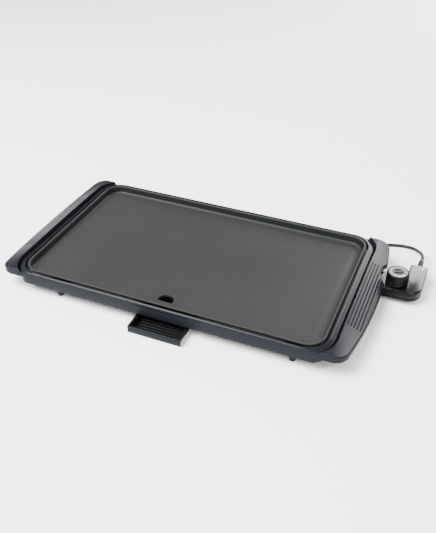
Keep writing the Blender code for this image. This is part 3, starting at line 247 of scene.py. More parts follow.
def dialFinish():
    # printed metal face: silver ring with ticks and a scale arc, grey middle, a red mark at the hot end.
    # radius = sqrt(x^2 + y^2) and turn = atan2(y, x) about the knob's axis choose each print
    finish = Finish("dialFace", IOR=1.5, Specular_IOR_Level=0.12)
    place = finish.scaled(centre=tuple(metres(knobCentre)))
    x, y = finish.axis(0, place), finish.axis(1, place)
    radius = (x * x + y * y).of("SQRT") * (1 / mm)
    turn = y.of("ARCTAN2", x) * (180 / math.pi)  # 0 towards +X, growing towards +Y
    around = (turn + (720.0 - knob["start"])).of("MODULO", 360.0)

    def band(value, low, high):
        return (value > low) * (value < high)

    phase = (around * ((knob["ticks"] - 1) / knob["sweep"])).of("FRACT")
    tick = band(phase, 0.0, knob["tickShare"]) * band(around, *knob["tickTurn"])
    tick = tick * band(radius, *knob["ticksAt"])
    arc = band(radius, *knob["arc"]) * band(around, *knob["arcTurn"])
    hot = band(radius, *knob["hot"]) * band(around, *knob["hotTurn"])
    brushed = finish.noise(1.0, 2, finish.scaled(scale=(3000, 90, 90)))
    silver = finish.between(brushed, (0.20, 0.20, 0.205, 1), (0.30, 0.30, 0.31, 1))
    face = finish.between(band(radius, *knob["ring"]), (0.022, 0.022, 0.024, 1), silver)
    face = finish.between(tick, face, (0.004, 0.004, 0.005, 1))
    face = finish.between(arc, face, (0.008, 0.008, 0.009, 1))
    face = finish.between(hot, face, (0.42, 0.035, 0.035, 1))
    finish.feed("Base Color", face)
    finish.feed("Roughness", finish.remap(brushed, 0.3, 0.7, 0.36, 0.5))
    finish.feed("Normal", finish.bump(brushed, 0.00001, 0.5))
    return finish.material


# name, colour, lighter colour, roughness, grain to the metre, its depth, dust and shine of each plastic
plastics = {
    "phenolic": ("blackFrame", (0.0052, 0.0056, 0.0074), (0.0085, 0.0090, 0.0115), 0.27, 2200, 0.00002,
                 0.2, 0.15),
    "black_plastic": ("blackControl", (0.0022, 0.0023, 0.0026), (0.0042, 0.0042, 0.005), 0.15, 1600, 0.000012,
                      0.12, 0.42),
    "rubber": ("rubberFeet", (0.004, 0.004, 0.004), (0.012, 0.012, 0.012), 0.62, 900, 0.00006, 0.3, 0.25),
    "cord": ("cordSheath", (0.0035, 0.0035, 0.004), (0.008, 0.008, 0.0085), 0.36, 700, 0.00005, 0.3, 0.2),
    # painted shade: this entry is a duller, less shiny copy of the frame plastic, put on sides so that they
    # render darker
    "satin": ("sideShadeFrame", (0.0075, 0.0085, 0.0115), (0.0105, 0.0117, 0.0152), 0.42, 1800, 0.00002,
              0.15, 0.06),
    "grip": ("gripPanel", (0.0060, 0.0064, 0.0082), (0.0090, 0.0095, 0.0120), 0.31, 1500, 0.00003, 0.25, 0.17),
    # painted shade: this entry is a duller, less shiny copy of the control plastic, put on sides so that they
    # render darker
    "controlSide": ("sideShadeControl", (0.0020, 0.0021, 0.0022), (0.0040, 0.0040, 0.0042), 0.22, 1600, 0.00001,
                    0.1, 0.08),
    "tray": ("blackTray", (0.0016, 0.0020, 0.0021), (0.0034, 0.0040, 0.0040), 0.40, 1500, 0.00003, 0.2, 0.14),
}
finishes = {slot: mouldedFinish(*settings) for slot, settings in plastics.items()}
finishes["non_stick"] = nonStickFinish()
finishes["steel"] = metalFinish("steelParts", (0.56, 0.55, 0.53, 1), (0.34, 0.33, 0.32, 1), 0.32, 0)
finishes["brass"] = metalFinish("brassParts", (0.72, 0.52, 0.24, 1), (0.50, 0.35, 0.15, 1), 0.3, 0)
finishes["ceramic"] = ceramicFinish()
finishes["dial_print"] = dialFinish()
finishes["lens"] = lensFinish()
print("finishes made:", len(finishes))


def shadeSteepFaces(piece, satin, steepest=0.62, panel=None):
    # painted shade: one plastic gets two copies, its own glossy one on top and a duller, less shiny one that
    # renders the sides darker: faces whose normal's z is under steepest take that side copy. A handle's grooved
    # panel, given as half its length and its two ends in x, has its own
    count = len(piece.data.polygons)
    normals, centres = np.empty(count * 3), np.empty(count * 3)
    piece.data.polygons.foreach_get("normal", normals)
    piece.data.polygons.foreach_get("center", centres)
    chosen = (normals[2::3] < steepest).astype(int)
    piece.data.materials.append(finishes[satin])
    if panel:
        halfLength, fromX, toX = panel
        x, y = np.abs((centres.reshape(-1, 3) - middle) / mm)[:, :2].T
        chosen[(y < halfLength) & (x > fromX) & (x < toX) & (normals[2::3] > 0.1)] = 2
        piece.data.materials.append(finishes["grip"])
    piece.data.polygons.foreach_set("material_index", chosen)
    piece.data.update()


def dress(piece, body, slot, finish=None):  # finish, slot and body of a new piece
    piece.data.materials.append(finishes[finish or slot])
    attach(piece, body)


def shadeSmooth(mesh, sharpAbove):
    mesh.shade_smooth()
    mesh.set_sharp_from_angle(angle=math.radians(sharpAbove))


def makeSurface(name, grid, body, slot, replaced=(), finish=None, wrapRows=False, sharpAbove=50,
                flatEnds=False):
    # grid is rows x columns x 3 in millimetres; columns close on themselves, and rows close too, or end in a
    # pole or in one flat face.
    # A face joins (i, j) (i, j+1) (i+1, j+1) (i+1, j); all turn over if the enclosed volume is below nought
    grid = np.asarray(grid, float)
    rows, columns = grid.shape[:2]
    index = np.arange(rows * columns).reshape(rows, columns)
    if wrapRows:
        index = np.vstack([index, index[:1]])
    right = np.roll(index, -1, axis=1)
    quads = np.stack([index[:-1], right[:-1], right[1:], index[1:]], -1).reshape(-1, 4)
    points = grid.reshape(-1, 3)
    triangles, ends = np.empty((0, 3), int), []
    if flatEnds:
        ends = [index[0][::-1], index[-1]]
    elif not wrapRows:
        low, high = len(points), len(points) + 1
        points = np.vstack([points, grid[0].mean(0), grid[-1].mean(0)])
        first = np.stack([right[0], index[0], np.full(columns, low)], -1)
        last = np.stack([index[-1], right[-1], np.full(columns, high)], -1)
        triangles = np.vstack([first, last])
    every = np.vstack([quads[:, :3], quads[:, [0, 2, 3]], triangles])
    a, b, c = (points[every[:, k]] - points.mean(0) for k in range(3))
    if (a * np.cross(b, c)).sum() < 0:
        quads, triangles, ends = quads[:, ::-1], triangles[:, ::-1], [end[::-1] for end in ends]
    mesh = bpy.data.meshes.new(name)
    faces = quads.tolist() + triangles.tolist() + [end.tolist() for end in ends]
    mesh.from_pydata(metres(points).tolist(), [], faces)
    shape = bmesh.new()
    shape.from_mesh(mesh)
    bmesh.ops.remove_doubles(shape, verts=shape.verts, dist=1e-6)  # rows that meet in one line become one
    shape.to_mesh(mesh)
    shape.free()
    shadeSmooth(mesh, sharpAbove)
    piece = bpy.data.objects.new(name, mesh)
    link(piece)
    dress(piece, body, slot, finish)
    if replaced:
        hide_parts(*replaced)
    return piece


def roundedLoop(halfX, halfY, radius, perCorner=22, perSide=48, stops=None):
    # four quarter circles, corner + radius (cos a, sin a), joined by straight sides start (1 - t) + end t.
    # stops gives t for the back, left, front and right sides; without it the steps are even
    quarter = np.linspace(0, math.pi / 2, perCorner)
    signs = np.array([(1, 1), (-1, 1), (-1, -1), (1, -1)], float)
    angles = quarter[None, :] + (np.arange(4) * math.pi / 2)[:, None]
    arcs = np.stack([signs[:, :1] * (halfX - radius) + radius * np.cos(angles),
                     signs[:, 1:] * (halfY - radius) + radius * np.sin(angles)], -1)
    even = np.linspace(0, 1, perSide + 2)[1:-1]
    parts = []
    for side in range(4):
        t = (stops[side] if stops else even)[:, None]
        parts += [arcs[side], arcs[side][-1] * (1 - t) + arcs[(side + 1) % 4][0] * t]
    return np.vstack(parts)


def ringAt(loop, height):  # a flat loop lifted to one height
    return stacked(loop[:, 0], loop[:, 1], height)


def turnedGrid(profile, centre, columns=64):  # surface of revolution: (r cos a, r sin a, z) about centre
    profile = np.asarray(profile, float)
    angle = np.linspace(0, 2 * math.pi, columns, endpoint=False)
    radius, height = profile[:, :1], profile[:, 1:]
    return stacked(centre[0] + radius * np.cos(angle), centre[1] + radius * np.sin(angle), height)


def ease(t):  # 3 t^2 - 2 t^3, held at 0 and 1 outside
    t = np.clip(t, 0, 1)
    return t * t * (3 - 2 * t)


cordSettings = {
    "diameter": 5.6, "length": 0.86,
    "route": [(341, 150.6, 20), (341, 156, 20), (340.6, 162, 19.5), (338.2, 170, 17.6), (334, 180.5, 14.4),
              (327, 192, 10), (318, 202, 6), (306, 206.5, 3.6), (290, 204.5, 3.1), (270, 198, 3.1),
              (250, 192.5, 3.1), (228, 189.8, 3.1), (204, 189.5, 3.4), (179.6, 189.5, 4.3)],
    "foldRadius": 18.0, "foldRight": 165.0, "foldLeft": 55.0, "hankY": 171.5,
    "lowLayer": 4.3, "highLayer": 9.9,
    "tail": [(179.6, 153.5, 9.9), (185, 154.2, 9.7), (191, 156.6, 8.8), (197, 158.7, 7.5), (202, 159.4, 7.0),
             (205.4, 159.5, 6.9)],
}


def throughPoints(points, perSpan=6):
    # Catmull-Rom: q(t) = half of
    # (2 p1 + (p2 - p0) t + (2 p0 - 5 p1 + 4 p2 - p3) t^2 + (3 p1 - p0 - 3 p2 + p3) t^3)
    p = np.asarray(points, float)
    p = np.vstack([2 * p[0] - p[1], p, 2 * p[-1] - p[-2]])
    t = np.linspace(0, 1, perSpan, endpoint=False)[None, :, None]
    p0, p1, p2, p3 = (p[i:len(p) - 3 + i][:, None] for i in range(4))
    spans = 0.5 * (2 * p1 + (p2 - p0) * t + (2 * p0 - 5 * p1 + 4 * p2 - p3) * t ** 2
                   + (3 * p1 - p0 - 3 * p2 + p3) * t ** 3)
    return np.vstack([spans.reshape(-1, 3), p[-2]])


def hankTurns():
    # four runs and three folds; a fold is (x + r cos a, y + r sin a), and the right one climbs a layer
    s = cordSettings
    back, front = s["hankY"] + s["foldRadius"], s["hankY"] - s["foldRadius"]
    run = np.linspace(0, 1, 12)[:, None]

    def straight(fromX, toX, y, z):
        return np.array([fromX, y, z]) * (1 - run) + np.array([toX, y, z]) * run

    def fold(x, startAngle, lowZ, highZ):
        t = np.linspace(0, 1, 18)[1:-1]
        angle = np.radians(startAngle + 180 * t)
        rise = lowZ + (highZ - lowZ) * ease((t - 0.25) / 0.5)
        return np.column_stack([x + s["foldRadius"] * np.cos(angle),
                                s["hankY"] + s["foldRadius"] * np.sin(angle), rise])

    low, high = s["lowLayer"], s["highLayer"]
    left, right = s["foldLeft"], s["foldRight"]
    return np.vstack([
        straight(right, left, back, low), fold(left, 90, low, low), straight(left, right, front, low),
        fold(right, -90, low, high), straight(right, left, back, high), fold(left, 90, high, high),
        straight(left, right, front, high),
    ])


def makeCord():
    s = cordSettings
    points = np.vstack([throughPoints(s["route"]), hankTurns(), throughPoints(s["tail"])])
    places = metres(points)
    curve = bpy.data.curves.new("mains_cord", "CURVE")
    curve.dimensions = "3D"
    curve.bevel_depth = s["diameter"] / 2 * mm
    curve.bevel_resolution = 5
    curve.use_fill_caps = True
    spline = curve.splines.new("POLY")
    spline.points.add(len(places) - 1)
    spline.points.foreach_set("co", np.column_stack([places, np.ones(len(places))]).ravel())
    piece = bpy.data.objects.new("mains_cord", curve)
    link(piece)
    dress(piece, "control", "cord")
    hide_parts("power_cord", "cord_hank", "cord_tail")
    print("cord:", round(float(np.linalg.norm(np.diff(places, axis=0), axis=1).sum()), 3), "m")


def roundedSection(halfWide, halfHigh, power, columns=40):
    # superellipse: (a |cos t|^(2/n) sign cos t, b |sin t|^(2/n) sign sin t)
    t = np.linspace(0, 2 * math.pi, columns, endpoint=False)
    c, s = np.cos(t), np.sin(t)
    return np.stack([halfWide * np.sign(c) * np.abs(c) ** (2 / power),
                     halfHigh * np.sign(s) * np.abs(s) ** (2 / power)], -1)


def makePlug():
    # sections along X: distance, half width, half height, squareness
    low, high = boxMillimetres("plug_body")
    centreY, centreZ = (low[1] + high[1]) / 2, (low[2] + high[2]) / 2
    stations = [(0, 3.4, 3.4, 2), (0.6, 4.0, 4.0, 2), (3.4, 4.2, 4.2, 2.2), (4.2, 3.8, 3.8, 2.2),
                (5.2, 5.6, 4.8, 2.6), (7.5, 7.6, 5.4, 3), (11, 9.2, 6.0, 3.4), (16, 9.9, 6.25, 3.8),
                (22, 9.5, 6.0, 4), (24, 9.0, 5.7, 4), (26, 9.3, 5.9, 4), (30, 10, 6.3, 4.5),
                (35.6, 10, 6.3, 4.5), (36.6, 9.7, 6.0, 4.5), (37, 9.2, 5.5, 4.5)]
    stretch = (high[0] - low[0]) / stations[-1][0]
    rows = []
    for distance, wide, tall, power in stations:
        section = roundedSection(wide, tall, power)
        rows.append(stacked(low[0] + distance * stretch, centreY + section[:, 0], centreZ + section[:, 1]))
    return makeSurface("plug_shell", rows, "control", "black_plastic", ("plug_body",), "cord")


def makeTie():
    # a flat band, its rounded section carried round a rounded rectangle that takes in the hank
    low, high = boxMillimetres("cord_tie")
    half, centre = (high - low) / 2, (high + low) / 2
    rows = []
    for along, out in roundedSection(half[0], 0.5, 4, 20):  # the band is 1 mm thick
        loop = roundedLoop(half[1] - 0.6 + out, half[2] - 0.6 + out, 4.5 + out, 8, 6)
        rows.append(stacked(along, loop[:, 0], loop[:, 1]) + centre)
    return makeSurface("hank_tie", rows, "control", "rubber", ("cord_tie",), wrapRows=True, sharpAbove=60)


plugPiece = makePlug()
tiePiece = makeTie()
makeCord()


plate = {
    "halfLength": 250.0, "halfWidth": 148.5, "corner": 29.0,
    "rim": [(1.0, 37.3), (0.2, 38.3), (-0.2, 39.0), (-0.2, 40.0), (0.0, 40.6), (0.5, 41.05), (1.2, 41.2),
            (2.6, 41.2), (3.4, 41.0), (4.0, 40.5), (4.4, 39.6), (5.8, 32.4), (6.2, 31.5), (7.0, 30.75),
            (8.2, 29.9), (9.4, 29.4), (11.0, 29.22), (13.0, 29.2), (16.0, 29.2)],
    "floorInset": 16.0, "floor": 29.2, "crown": 0.75, "moat": 13.0, "moatSlope": 9.0, "frontMoat": 25.0,
    "frontReach": 85.0, "drain": (-4.0, -122.0), "drainRadius": 12.7, "drainFlat": 3.7, "drainBottom": 25.6,
    "drainSkin": 0.6, "underside": 28.6,
    # shares of the way from the edge of the floor to the drain
    "steps": (0.012, 0.026, 0.042, 0.06, 0.08, 0.105, 0.135, 0.17, 0.21, 0.26, 0.32, 0.39, 0.47, 0.55, 0.63,
              0.71, 0.78, 0.84, 0.89, 0.93, 0.96),
    # the skin's lower side, from the underside out to the rim
    "back": [(9.6, 28.6), (7.0, 30.2), (5.6, 32.0), (3.9, 39.6), (3.0, 40.5), (1.2, 40.5), (0.6, 40.0),
             (0.6, 39.0), (1.5, 37.3)],
}


def plateLoop(inset):
    corner = max(plate["corner"] - inset, 6.0)
    return roundedLoop(plate["halfLength"] - inset, plate["halfWidth"] - inset, corner)


def drainLoop(shrink):
    # r = min(radius, flat / cos(a)), a the angle from straight ahead, spread by distance round the rim
    rim = plateLoop(plate["floorInset"])
    steps = np.linalg.norm(np.roll(rim, -1, axis=0) - rim, axis=1)
    travelled = np.concatenate([[0], np.cumsum(steps)[:-1]])
    ahead = np.argmin(np.abs(rim[:, 0] - plate["drain"][0]) + 1e3 * (rim[:, 1] > 0))
    angle = 2 * math.pi * (travelled - travelled[ahead]) / steps.sum()
    angle = (angle + math.pi) % (2 * math.pi) - math.pi
    radius, flat = plate["drainRadius"] - shrink, plate["drainFlat"] - shrink
    edge = math.acos(flat / radius)
    for corner in (edge, -edge):
        angle[np.argmin(np.abs(angle - corner))] = corner
    reach = np.minimum(radius, flat / np.maximum(np.cos(angle), 1e-3))
    x, y = plate["drain"]
    return np.column_stack([x + reach * np.sin(angle), y - reach * np.cos(angle)])


def floorHeight(points):
    # the floor is higher in the middle than in the moat by crown, and the moat is wider round the drain
    x, y = points[:, 0], points[:, 1]
    sides = np.minimum(plate["halfLength"] - np.abs(x), plate["halfWidth"] - y)
    wide = plate["frontMoat"] * np.exp(-((x - plate["drain"][0]) / plate["frontReach"]) ** 2)
    front = plate["halfWidth"] + y
    level = ease((sides - plate["moat"]) / plate["moatSlope"])
    level = level * ease((front - plate["moat"] - wide) / (plate["moatSlope"] + 0.6 * wide))
    return plate["floor"] + plate["crown"] * level


def makePlateCoating():
    # loops carried in from the rim, over the floor start (1 - t) + hole t, down the drain and back underneath
    rows = [ringAt(plateLoop(inset), height) for inset, height in plate["rim"]]
    outer, hole = plateLoop(plate["floorInset"]), drainLoop(0.0)
    for t in plate["steps"]:
        loop = outer * (1 - t) + hole * t
        rows.append(np.column_stack([loop, floorHeight(loop)]))
    edge = float(floorHeight(np.array([plate["drain"]]))[0])
    bottom, skin, under = plate["drainBottom"], -plate["drainSkin"], plate["underside"]
    for shrink, height in ((-0.35, edge), (-0.1, edge - 0.1), (0.0, edge - 0.4), (0.0, bottom),
                           (skin, bottom), (skin, under)):
        rows.append(ringAt(drainLoop(shrink), height))
    rows.append(ringAt(outer, under))
    rows += [ringAt(plateLoop(inset), height) for inset, height in plate["back"]]
    makeSurface("plate_coating", rows, "base", "non_stick", wrapRows=True, sharpAbove=60)


makePlateCoating()
print("plate coated")


ring = {
    "openingX": 254.2, "openingY": 152.7, "corner": 33.2, "front": 156.0, "top": 40.0, "fall": 3.5 / 8.2,
    "slot": (-41.0, 49.0), "slotFront": 155, "tunnel": (41.5, 88.5), "tunnelTop": 27.3, "firstUnder": 14,
    "strip": (4, 9),  # the first and last row of the sloping strip
    # offset outwards from the opening, height, and how far forward the front may stand
    "section": [(0.0, 34.0, 156), (0.0, 39.3, 156), (0.15, 39.75, 156), (0.6, 39.75, 156), (2.6, 38.9, 156),
                (3.1, 38.65, 155.7), (3.6, 38.3, 156), (7.3, 36.9, 156), (7.9, 36.55, 156), (8.2, 36.0, 156),
                (8.2, 34.76, 156), (8.2, 34.75, 155), (8.2, 33.25, 155), (8.2, 33.24, 156), (8.2, 17.9, 156),
                (8.0, 17.3, 155.8), (7.4, 17.0, 155.3), (5.8, 17.0, 153.6), (5.4, 17.4, 153.2),
                (5.4, 30.8, 153.2), (-2.0, 32.4, 153.2), (-5.5, 32.4, 153.2), (-5.5, 34.0, 153.2)],
}


def pairsAt(ends):  # a point just before and just after each end
    return np.array([end + step for end in ends for step in (-0.02, 0.02)])


def ringStops():
    # fractions along each straight side, with pairs of points where the slot and the tunnel start and end
    longSide, shortSide = ring["openingX"] - ring["corner"], ring["openingY"] - ring["corner"]
    slot, tunnel = pairsAt(ring["slot"]), pairsAt(ring["tunnel"])
    even = np.linspace(0, 1, 42)[1:-1]
    front = np.sort(np.concatenate([even, (slot + longSide) / (2 * longSide)]))
    right = np.sort(np.concatenate([even, (tunnel + shortSide) / (2 * shortSide)]))
    return [even, even, front, right]


def makeFrameRing():
    # the section carried round the opening; height = top - fall * offset on the sloping strip
    stops, rows = ringStops(), []
    for number, (offset, height, reach) in enumerate(ring["section"]):
        loop = roundedLoop(ring["openingX"] + offset, ring["openingY"] + offset, ring["corner"] + offset, 26,
                           stops=stops)
        x, y = loop[:, 0], loop[:, 1]
        z = np.full(len(x), float(height))
        cut = np.maximum(np.abs(y) - ring["front"], 0)
        if ring["strip"][0] <= number <= ring["strip"][1]:  # it meets the flat front before its full width
            sloped = ring["top"] - ring["fall"] * np.maximum(offset - cut, 0) - 0.35
            z = np.where(cut > 0, np.maximum(z, sloped), z)
        limit = np.full(len(x), float(reach))
        if reach == ring["slotFront"]:  # only between the slot's ends, and only in front
            inSlot = (x > ring["slot"][0]) & (x < ring["slot"][1]) & (y < 0)
            limit = np.where(inSlot, reach, ring["front"])
        y = np.clip(y, -limit, limit)
        if number >= ring["firstUnder"]:
            inTunnel = (x > 240) & (y > ring["tunnel"][0]) & (y < ring["tunnel"][1])
            z = np.where(inTunnel, np.maximum(z, ring["tunnelTop"]), z)
        rows.append(np.column_stack([x, y, z]))
    piece = makeSurface("frame_ring", rows, "base", "phenolic", ("base_frame",), wrapRows=True, sharpAbove=42)
    shadeSteepFaces(piece, "satin")


handle = {
    "inner": 266.4, "outer": 298.5, "bow": 10.8, "straight": 134.0, "endY": 156.0, "endCentre": 265.7,
    "endRadius": 22.0, "innerBend": (221.0, 119.5, 45.4), "innerTop": 42.5, "endFall": 2.5, "drop": 12.8,
    "endDrop": 2.0, "bottom": 24.2, "bottomRise": 3.3, "skin": 2.8, "innerRound": 0.9, "outerRound": 2.0,
    "grooves": 5, "firstGroove": 4.0, "groovePitch": 4.8, "grooveHalf": 0.6, "grooveDepth": 0.8,
    "grooveReach": 85.0, "grooved": 25.0, "narrowFrom": 90.0, "narrowOver": 24.0,
    "notch": (322.0, 77.0, 36.0), "tunnel": (41.5, 88.5), "tunnelTop": 27.3, "panel": (86, 268.6, 291.8),
}


def handleCurve(y):  # outer - bow (y / straight)^2
    return handle["outer"] - handle["bow"] * (y / handle["straight"]) ** 2


def handleBow(y):  # the outer edge before the notch: the curve, then the end's quarter circle
    far = np.clip(np.abs(y) - handle["straight"], 0, handle["endRadius"])
    end = handle["endCentre"] + np.sqrt(handle["endRadius"] ** 2 - far ** 2)
    return np.where(far > 0, end, handleCurve(y))


def handleInner(y):  # the inner edge: straight, then the arc that runs parallel to the frame's corner
    x, start, radius = handle["innerBend"]
    far = np.maximum(np.abs(y) - start, 0)
    return np.where(far > 0, x + np.sqrt(radius ** 2 - far ** 2), handle["inner"])


def handleTop(x, y):  # inner height less drop times the share of the width crossed
    a = np.clip(np.abs(y) / handle["endY"], 0, 1)
    high = handle["innerTop"] - handle["endFall"] * a ** 2
    drop = handle["drop"] * (1 - a ** 2) + handle["endDrop"]
    return high - drop * np.maximum(x - handle["inner"], 0) / (handleCurve(y) - handle["inner"])


def grooveSamples():  # distances from the inner edge, and the share of the groove's depth at each
    half = handle["grooveHalf"]
    shape = np.array([(-half - 0.28, 0), (-half - 0.06, 0.12), (-half + 0.08, 0.7), (-half + 0.25, 1),
                      (half - 0.25, 1), (half - 0.08, 0.7), (half + 0.06, 0.12), (half + 0.28, 0)])
    starts = handle["firstGroove"] + handle["groovePitch"] * np.arange(handle["grooves"])
    across = (starts[:, None] + shape[None, :, 0]).ravel()
    share = np.tile(shape[:, 1], handle["grooves"])
    owner = np.repeat(starts, len(shape))
    plain = np.concatenate([[1.0, 2.0], starts[:-1] + handle["groovePitch"] / 2, [24.8, 26.2, 27.4, 28.6]])
    across, none = np.concatenate([across, plain]), np.zeros(len(plain))
    order = np.argsort(across)
    return across[order], np.concatenate([share, none])[order], np.concatenate([owner, none])[order]


def makeHandle(name, side):
    # cross-sections (x, z) carried along y: up the inner wall, over the grooved top, round the outer edge, down
    # and back under the skin; side is 1 at the control and -1 at the other end
    h = handle
    special = [h["grooveReach"] * k + d for k in (-1, 1) for d in (-1.6, -1.1, -0.6, -0.2, 0, 0.3)]
    if side > 0:
        special += pairsAt(h["tunnel"]).tolist()
        special += np.linspace(38, 52, 19).tolist() + np.linspace(100, 116, 21).tolist()
    ends = h["endY"] - np.array([0, 0.25, 0.8, 1.6, 2.78, 2.82, 4, 5.5, 7.5, 10, 13, 16, 19])
    y = np.unique(np.concatenate([np.linspace(-137, 137, 93), special, ends, -ends]))[:, None]
    across, share, owner = grooveSamples()
    inner, bow = handleInner(y), handleBow(y)
    edge = bow
    if side > 0:
        x0, y0, radius = h["notch"]
        near = np.clip(radius ** 2 - (y - y0) ** 2, 0, None)
        edge = np.where(near > 0, np.minimum(bow, x0 - np.sqrt(near)), bow)
    # the grooves keep their distance from the inner edge in the middle, and share the width near the ends
    width, fullWidth, grooved = bow - inner, h["outer"] - h["inner"], h["grooved"]
    beyond = grooved + (across - grooved) * (width - grooved) / (fullWidth - grooved)
    fixed = inner + np.where(across > grooved, beyond, across)
    shared = inner + across * width / fullWidth
    blend = ease((np.abs(y) - h["narrowFrom"]) / h["narrowOver"])
    x = fixed * (1 - blend) + shared * blend
    behind = 0.02 * (len(across) - np.arange(len(across)))[None, :]  # points pushed back at the edge stay apart
    x = np.clip(x, inner + h["innerRound"] + 0.001, edge - h["outerRound"] - behind)
    live = ease((h["grooveReach"] - np.abs(y)) / 1.4)  # how far each groove is cut: it fades at its ends
    live = live * ease((edge - h["outerRound"] - 0.8 - (h["inner"] + owner)) / 1.2)
    top = handleTop(x, y) - h["grooveDepth"] * share * live
    bottom = h["bottom"] + h["bottomRise"] * (np.abs(y) / h["endY"]) ** 2
    if side > 0:
        inTunnel = (y > h["tunnel"][0]) & (y < h["tunnel"][1])
        bottom = np.where(inTunnel, np.maximum(bottom, h["tunnelTop"]), bottom)
    turn = np.radians([0, 18, 36, 54, 72, 90])[None, :]
    innerX = inner + h["innerRound"] * (1 - np.sin(turn[:, ::-1]))
    innerZ = handleTop(innerX, y) - h["innerRound"] * (1 - np.cos(turn[:, ::-1]))
    outerX = edge - h["outerRound"] * (1 - np.sin(turn))
    outerZ = np.maximum(handleTop(outerX, y) - h["outerRound"] * (1 - np.cos(turn)), bottom + 0.5)
    wallX = np.concatenate([edge, edge - 0.15, edge - 0.5], 1)
    wallZ = np.concatenate([bottom + 0.45, bottom + 0.1, bottom], 1)
    under = np.linspace(0, 1, 9)[None, :]
    hollow = np.abs(y) < h["endY"] - h["skin"]
    lipX, footIn = edge - h["skin"], inner + h["skin"]
    ceilX = np.where(footIn < lipX, lipX * (1 - under) + footIn * under, (inner + edge) / 2)
    ceilZ = np.where(hollow, np.maximum(handleTop(ceilX, y) - h["skin"], bottom), bottom)
    footX = np.concatenate([footIn, inner + 0.5, inner + 0.15, inner], 1)
    footX[:, 0] = np.minimum(footX[:, 0], ceilX[:, -1] + 0.001)
    footZ = np.concatenate([bottom, bottom, bottom + 0.1, bottom + 0.45], 1)
    sectionX = np.concatenate([innerX, x, outerX, wallX, lipX, ceilX, footX], 1)
    sectionZ = np.concatenate([innerZ, top, outerZ, wallZ, bottom, ceilZ, footZ], 1)
    endShrink = np.clip(1 - (h["endY"] - np.abs(y)) / 0.8, 0, 1) ** 2 * 0.45  # a small round on the end face
    sectionZ = np.where(sectionZ > bottom + 4, sectionZ - endShrink, sectionZ)
    piece = makeSurface(name, stacked(side * sectionX, y, sectionZ), "base", "phenolic", flatEnds=True,
                        sharpAbove=42)
    shadeSteepFaces(piece, "satin", 0.75, h["panel"])


def makeBlock(name, low, high, body, slot, rounding=0.5, finish=None):
    # a rounded rectangle seen from above, lifted in six steps with a small round at the top and bottom edges
    low, high = np.array(low, float), np.array(high, float)
    half, centre = (high - low)[:2] / 2, (high + low)[:2] / 2
    rise = min(rounding, (high - low)[2] * 0.4)
    rows = []
    for inset, z in ((rise, low[2]), (0.3 * rise, low[2] + 0.3 * rise), (0, low[2] + rise),
                     (0, high[2] - rise), (0.3 * rise, high[2] - 0.3 * rise), (rise, high[2])):
        loop = roundedLoop(half[0] - inset, half[1] - inset, max(rounding * 1.5 - inset, 0.1), 5, 2) + centre
        rows.append(ringAt(loop, z))
    makeSurface(name, rows, body, slot, finish=finish)


details = {  # places from the middle, half sizes, and heights from and to
    "bridges": {"x": 249.0, "y": 154.45, "halfX": 8, "halfY": 1.45, "from": 27.8, "to": 36},
    "webs": {"x": 264.4, "ys": (-100, -50, 0, 120), "halfX": 2.6, "halfY": 1.2, "from": 24.6, "to": 30.5},
    "footTabs": {"xs": {"left": -184, "right": 208}, "halfX": 16, "outerY": 154.6, "innerY": 119.6,
                 "from": 17.2, "to": 20.5},
    "channel": {"reach": 155.2, "bend": (221, 119.5), "radii": (40.4, 46.0), "from": 28.0, "to": 29.4},
    "ledge": [(-48, -155, 17.2), (56, -146, 19.5)],
}


def makeFrameDetails():
    # the channel's floor is a strip between two radii: x = bend + sqrt(radius^2 - (y past the bend)^2)
    b, w, t, c = (details[key] for key in ("bridges", "webs", "footTabs", "channel"))
    sideNames, endNames = {1: "right", -1: "left"}, {-1: "front", 1: "back"}
    # painted shade: the bridges take the duller side copy of the frame plastic
    for side in (1, -1):
        for end in (-1, 1):
            x, y = side * b["x"], end * b["y"]
            makeBlock(f"bridge_{sideNames[side]}_{endNames[end]}", (x - b["halfX"], y - b["halfY"], b["from"]),
                      (x + b["halfX"], y + b["halfY"], b["to"]), "base", "phenolic", 0.4, "satin")
    for number, y in enumerate(w["ys"]):
        for side in (-1, 1):
            x = side * w["x"]
            makeBlock(f"web_{number}_{sideNames[side]}", (x - w["halfX"], y - w["halfY"], w["from"]),
                      (x + w["halfX"], y + w["halfY"], w["to"]), "base", "phenolic", 0.3)
    for place, x in t["xs"].items():
        for end in (-1, 1):
            ys = sorted((end * t["outerY"], end * t["innerY"]))
            makeBlock(f"foot_tab_{place}_{endNames[end]}", (x - t["halfX"], ys[0], t["from"]),
                      (x + t["halfX"], ys[1], t["to"]), "base", "phenolic", 0.5)
    for side in (1, -1):  # a narrow floor closes the channel between the ring and each handle
        y = np.linspace(-c["reach"], c["reach"], 121)[:, None]
        far = np.maximum(np.abs(y) - c["bend"][1], 0)
        inner, outer = (c["bend"][0] + np.sqrt(np.maximum(radius ** 2 - far ** 2, 0)) for radius in c["radii"])
        x = np.concatenate([inner, outer, outer, inner], 1)
        grid = stacked(side * x, y, np.repeat([c["from"], c["to"]], 2))
        makeSurface("channel_floor_" + sideNames[side], grid, "base", "phenolic", flatEnds=True, sharpAbove=40)
    makeBlock("tray_ledge", *details["ledge"], "base", "phenolic", 0.4)


tray = {
    "ribs": 12, "firstRib": 7.7, "ribPitch": 6.2, "ribHalf": (0.75, 1.6), "ribRise": 1.7, "ribMargin": 9,
    "front": 2.3,
}


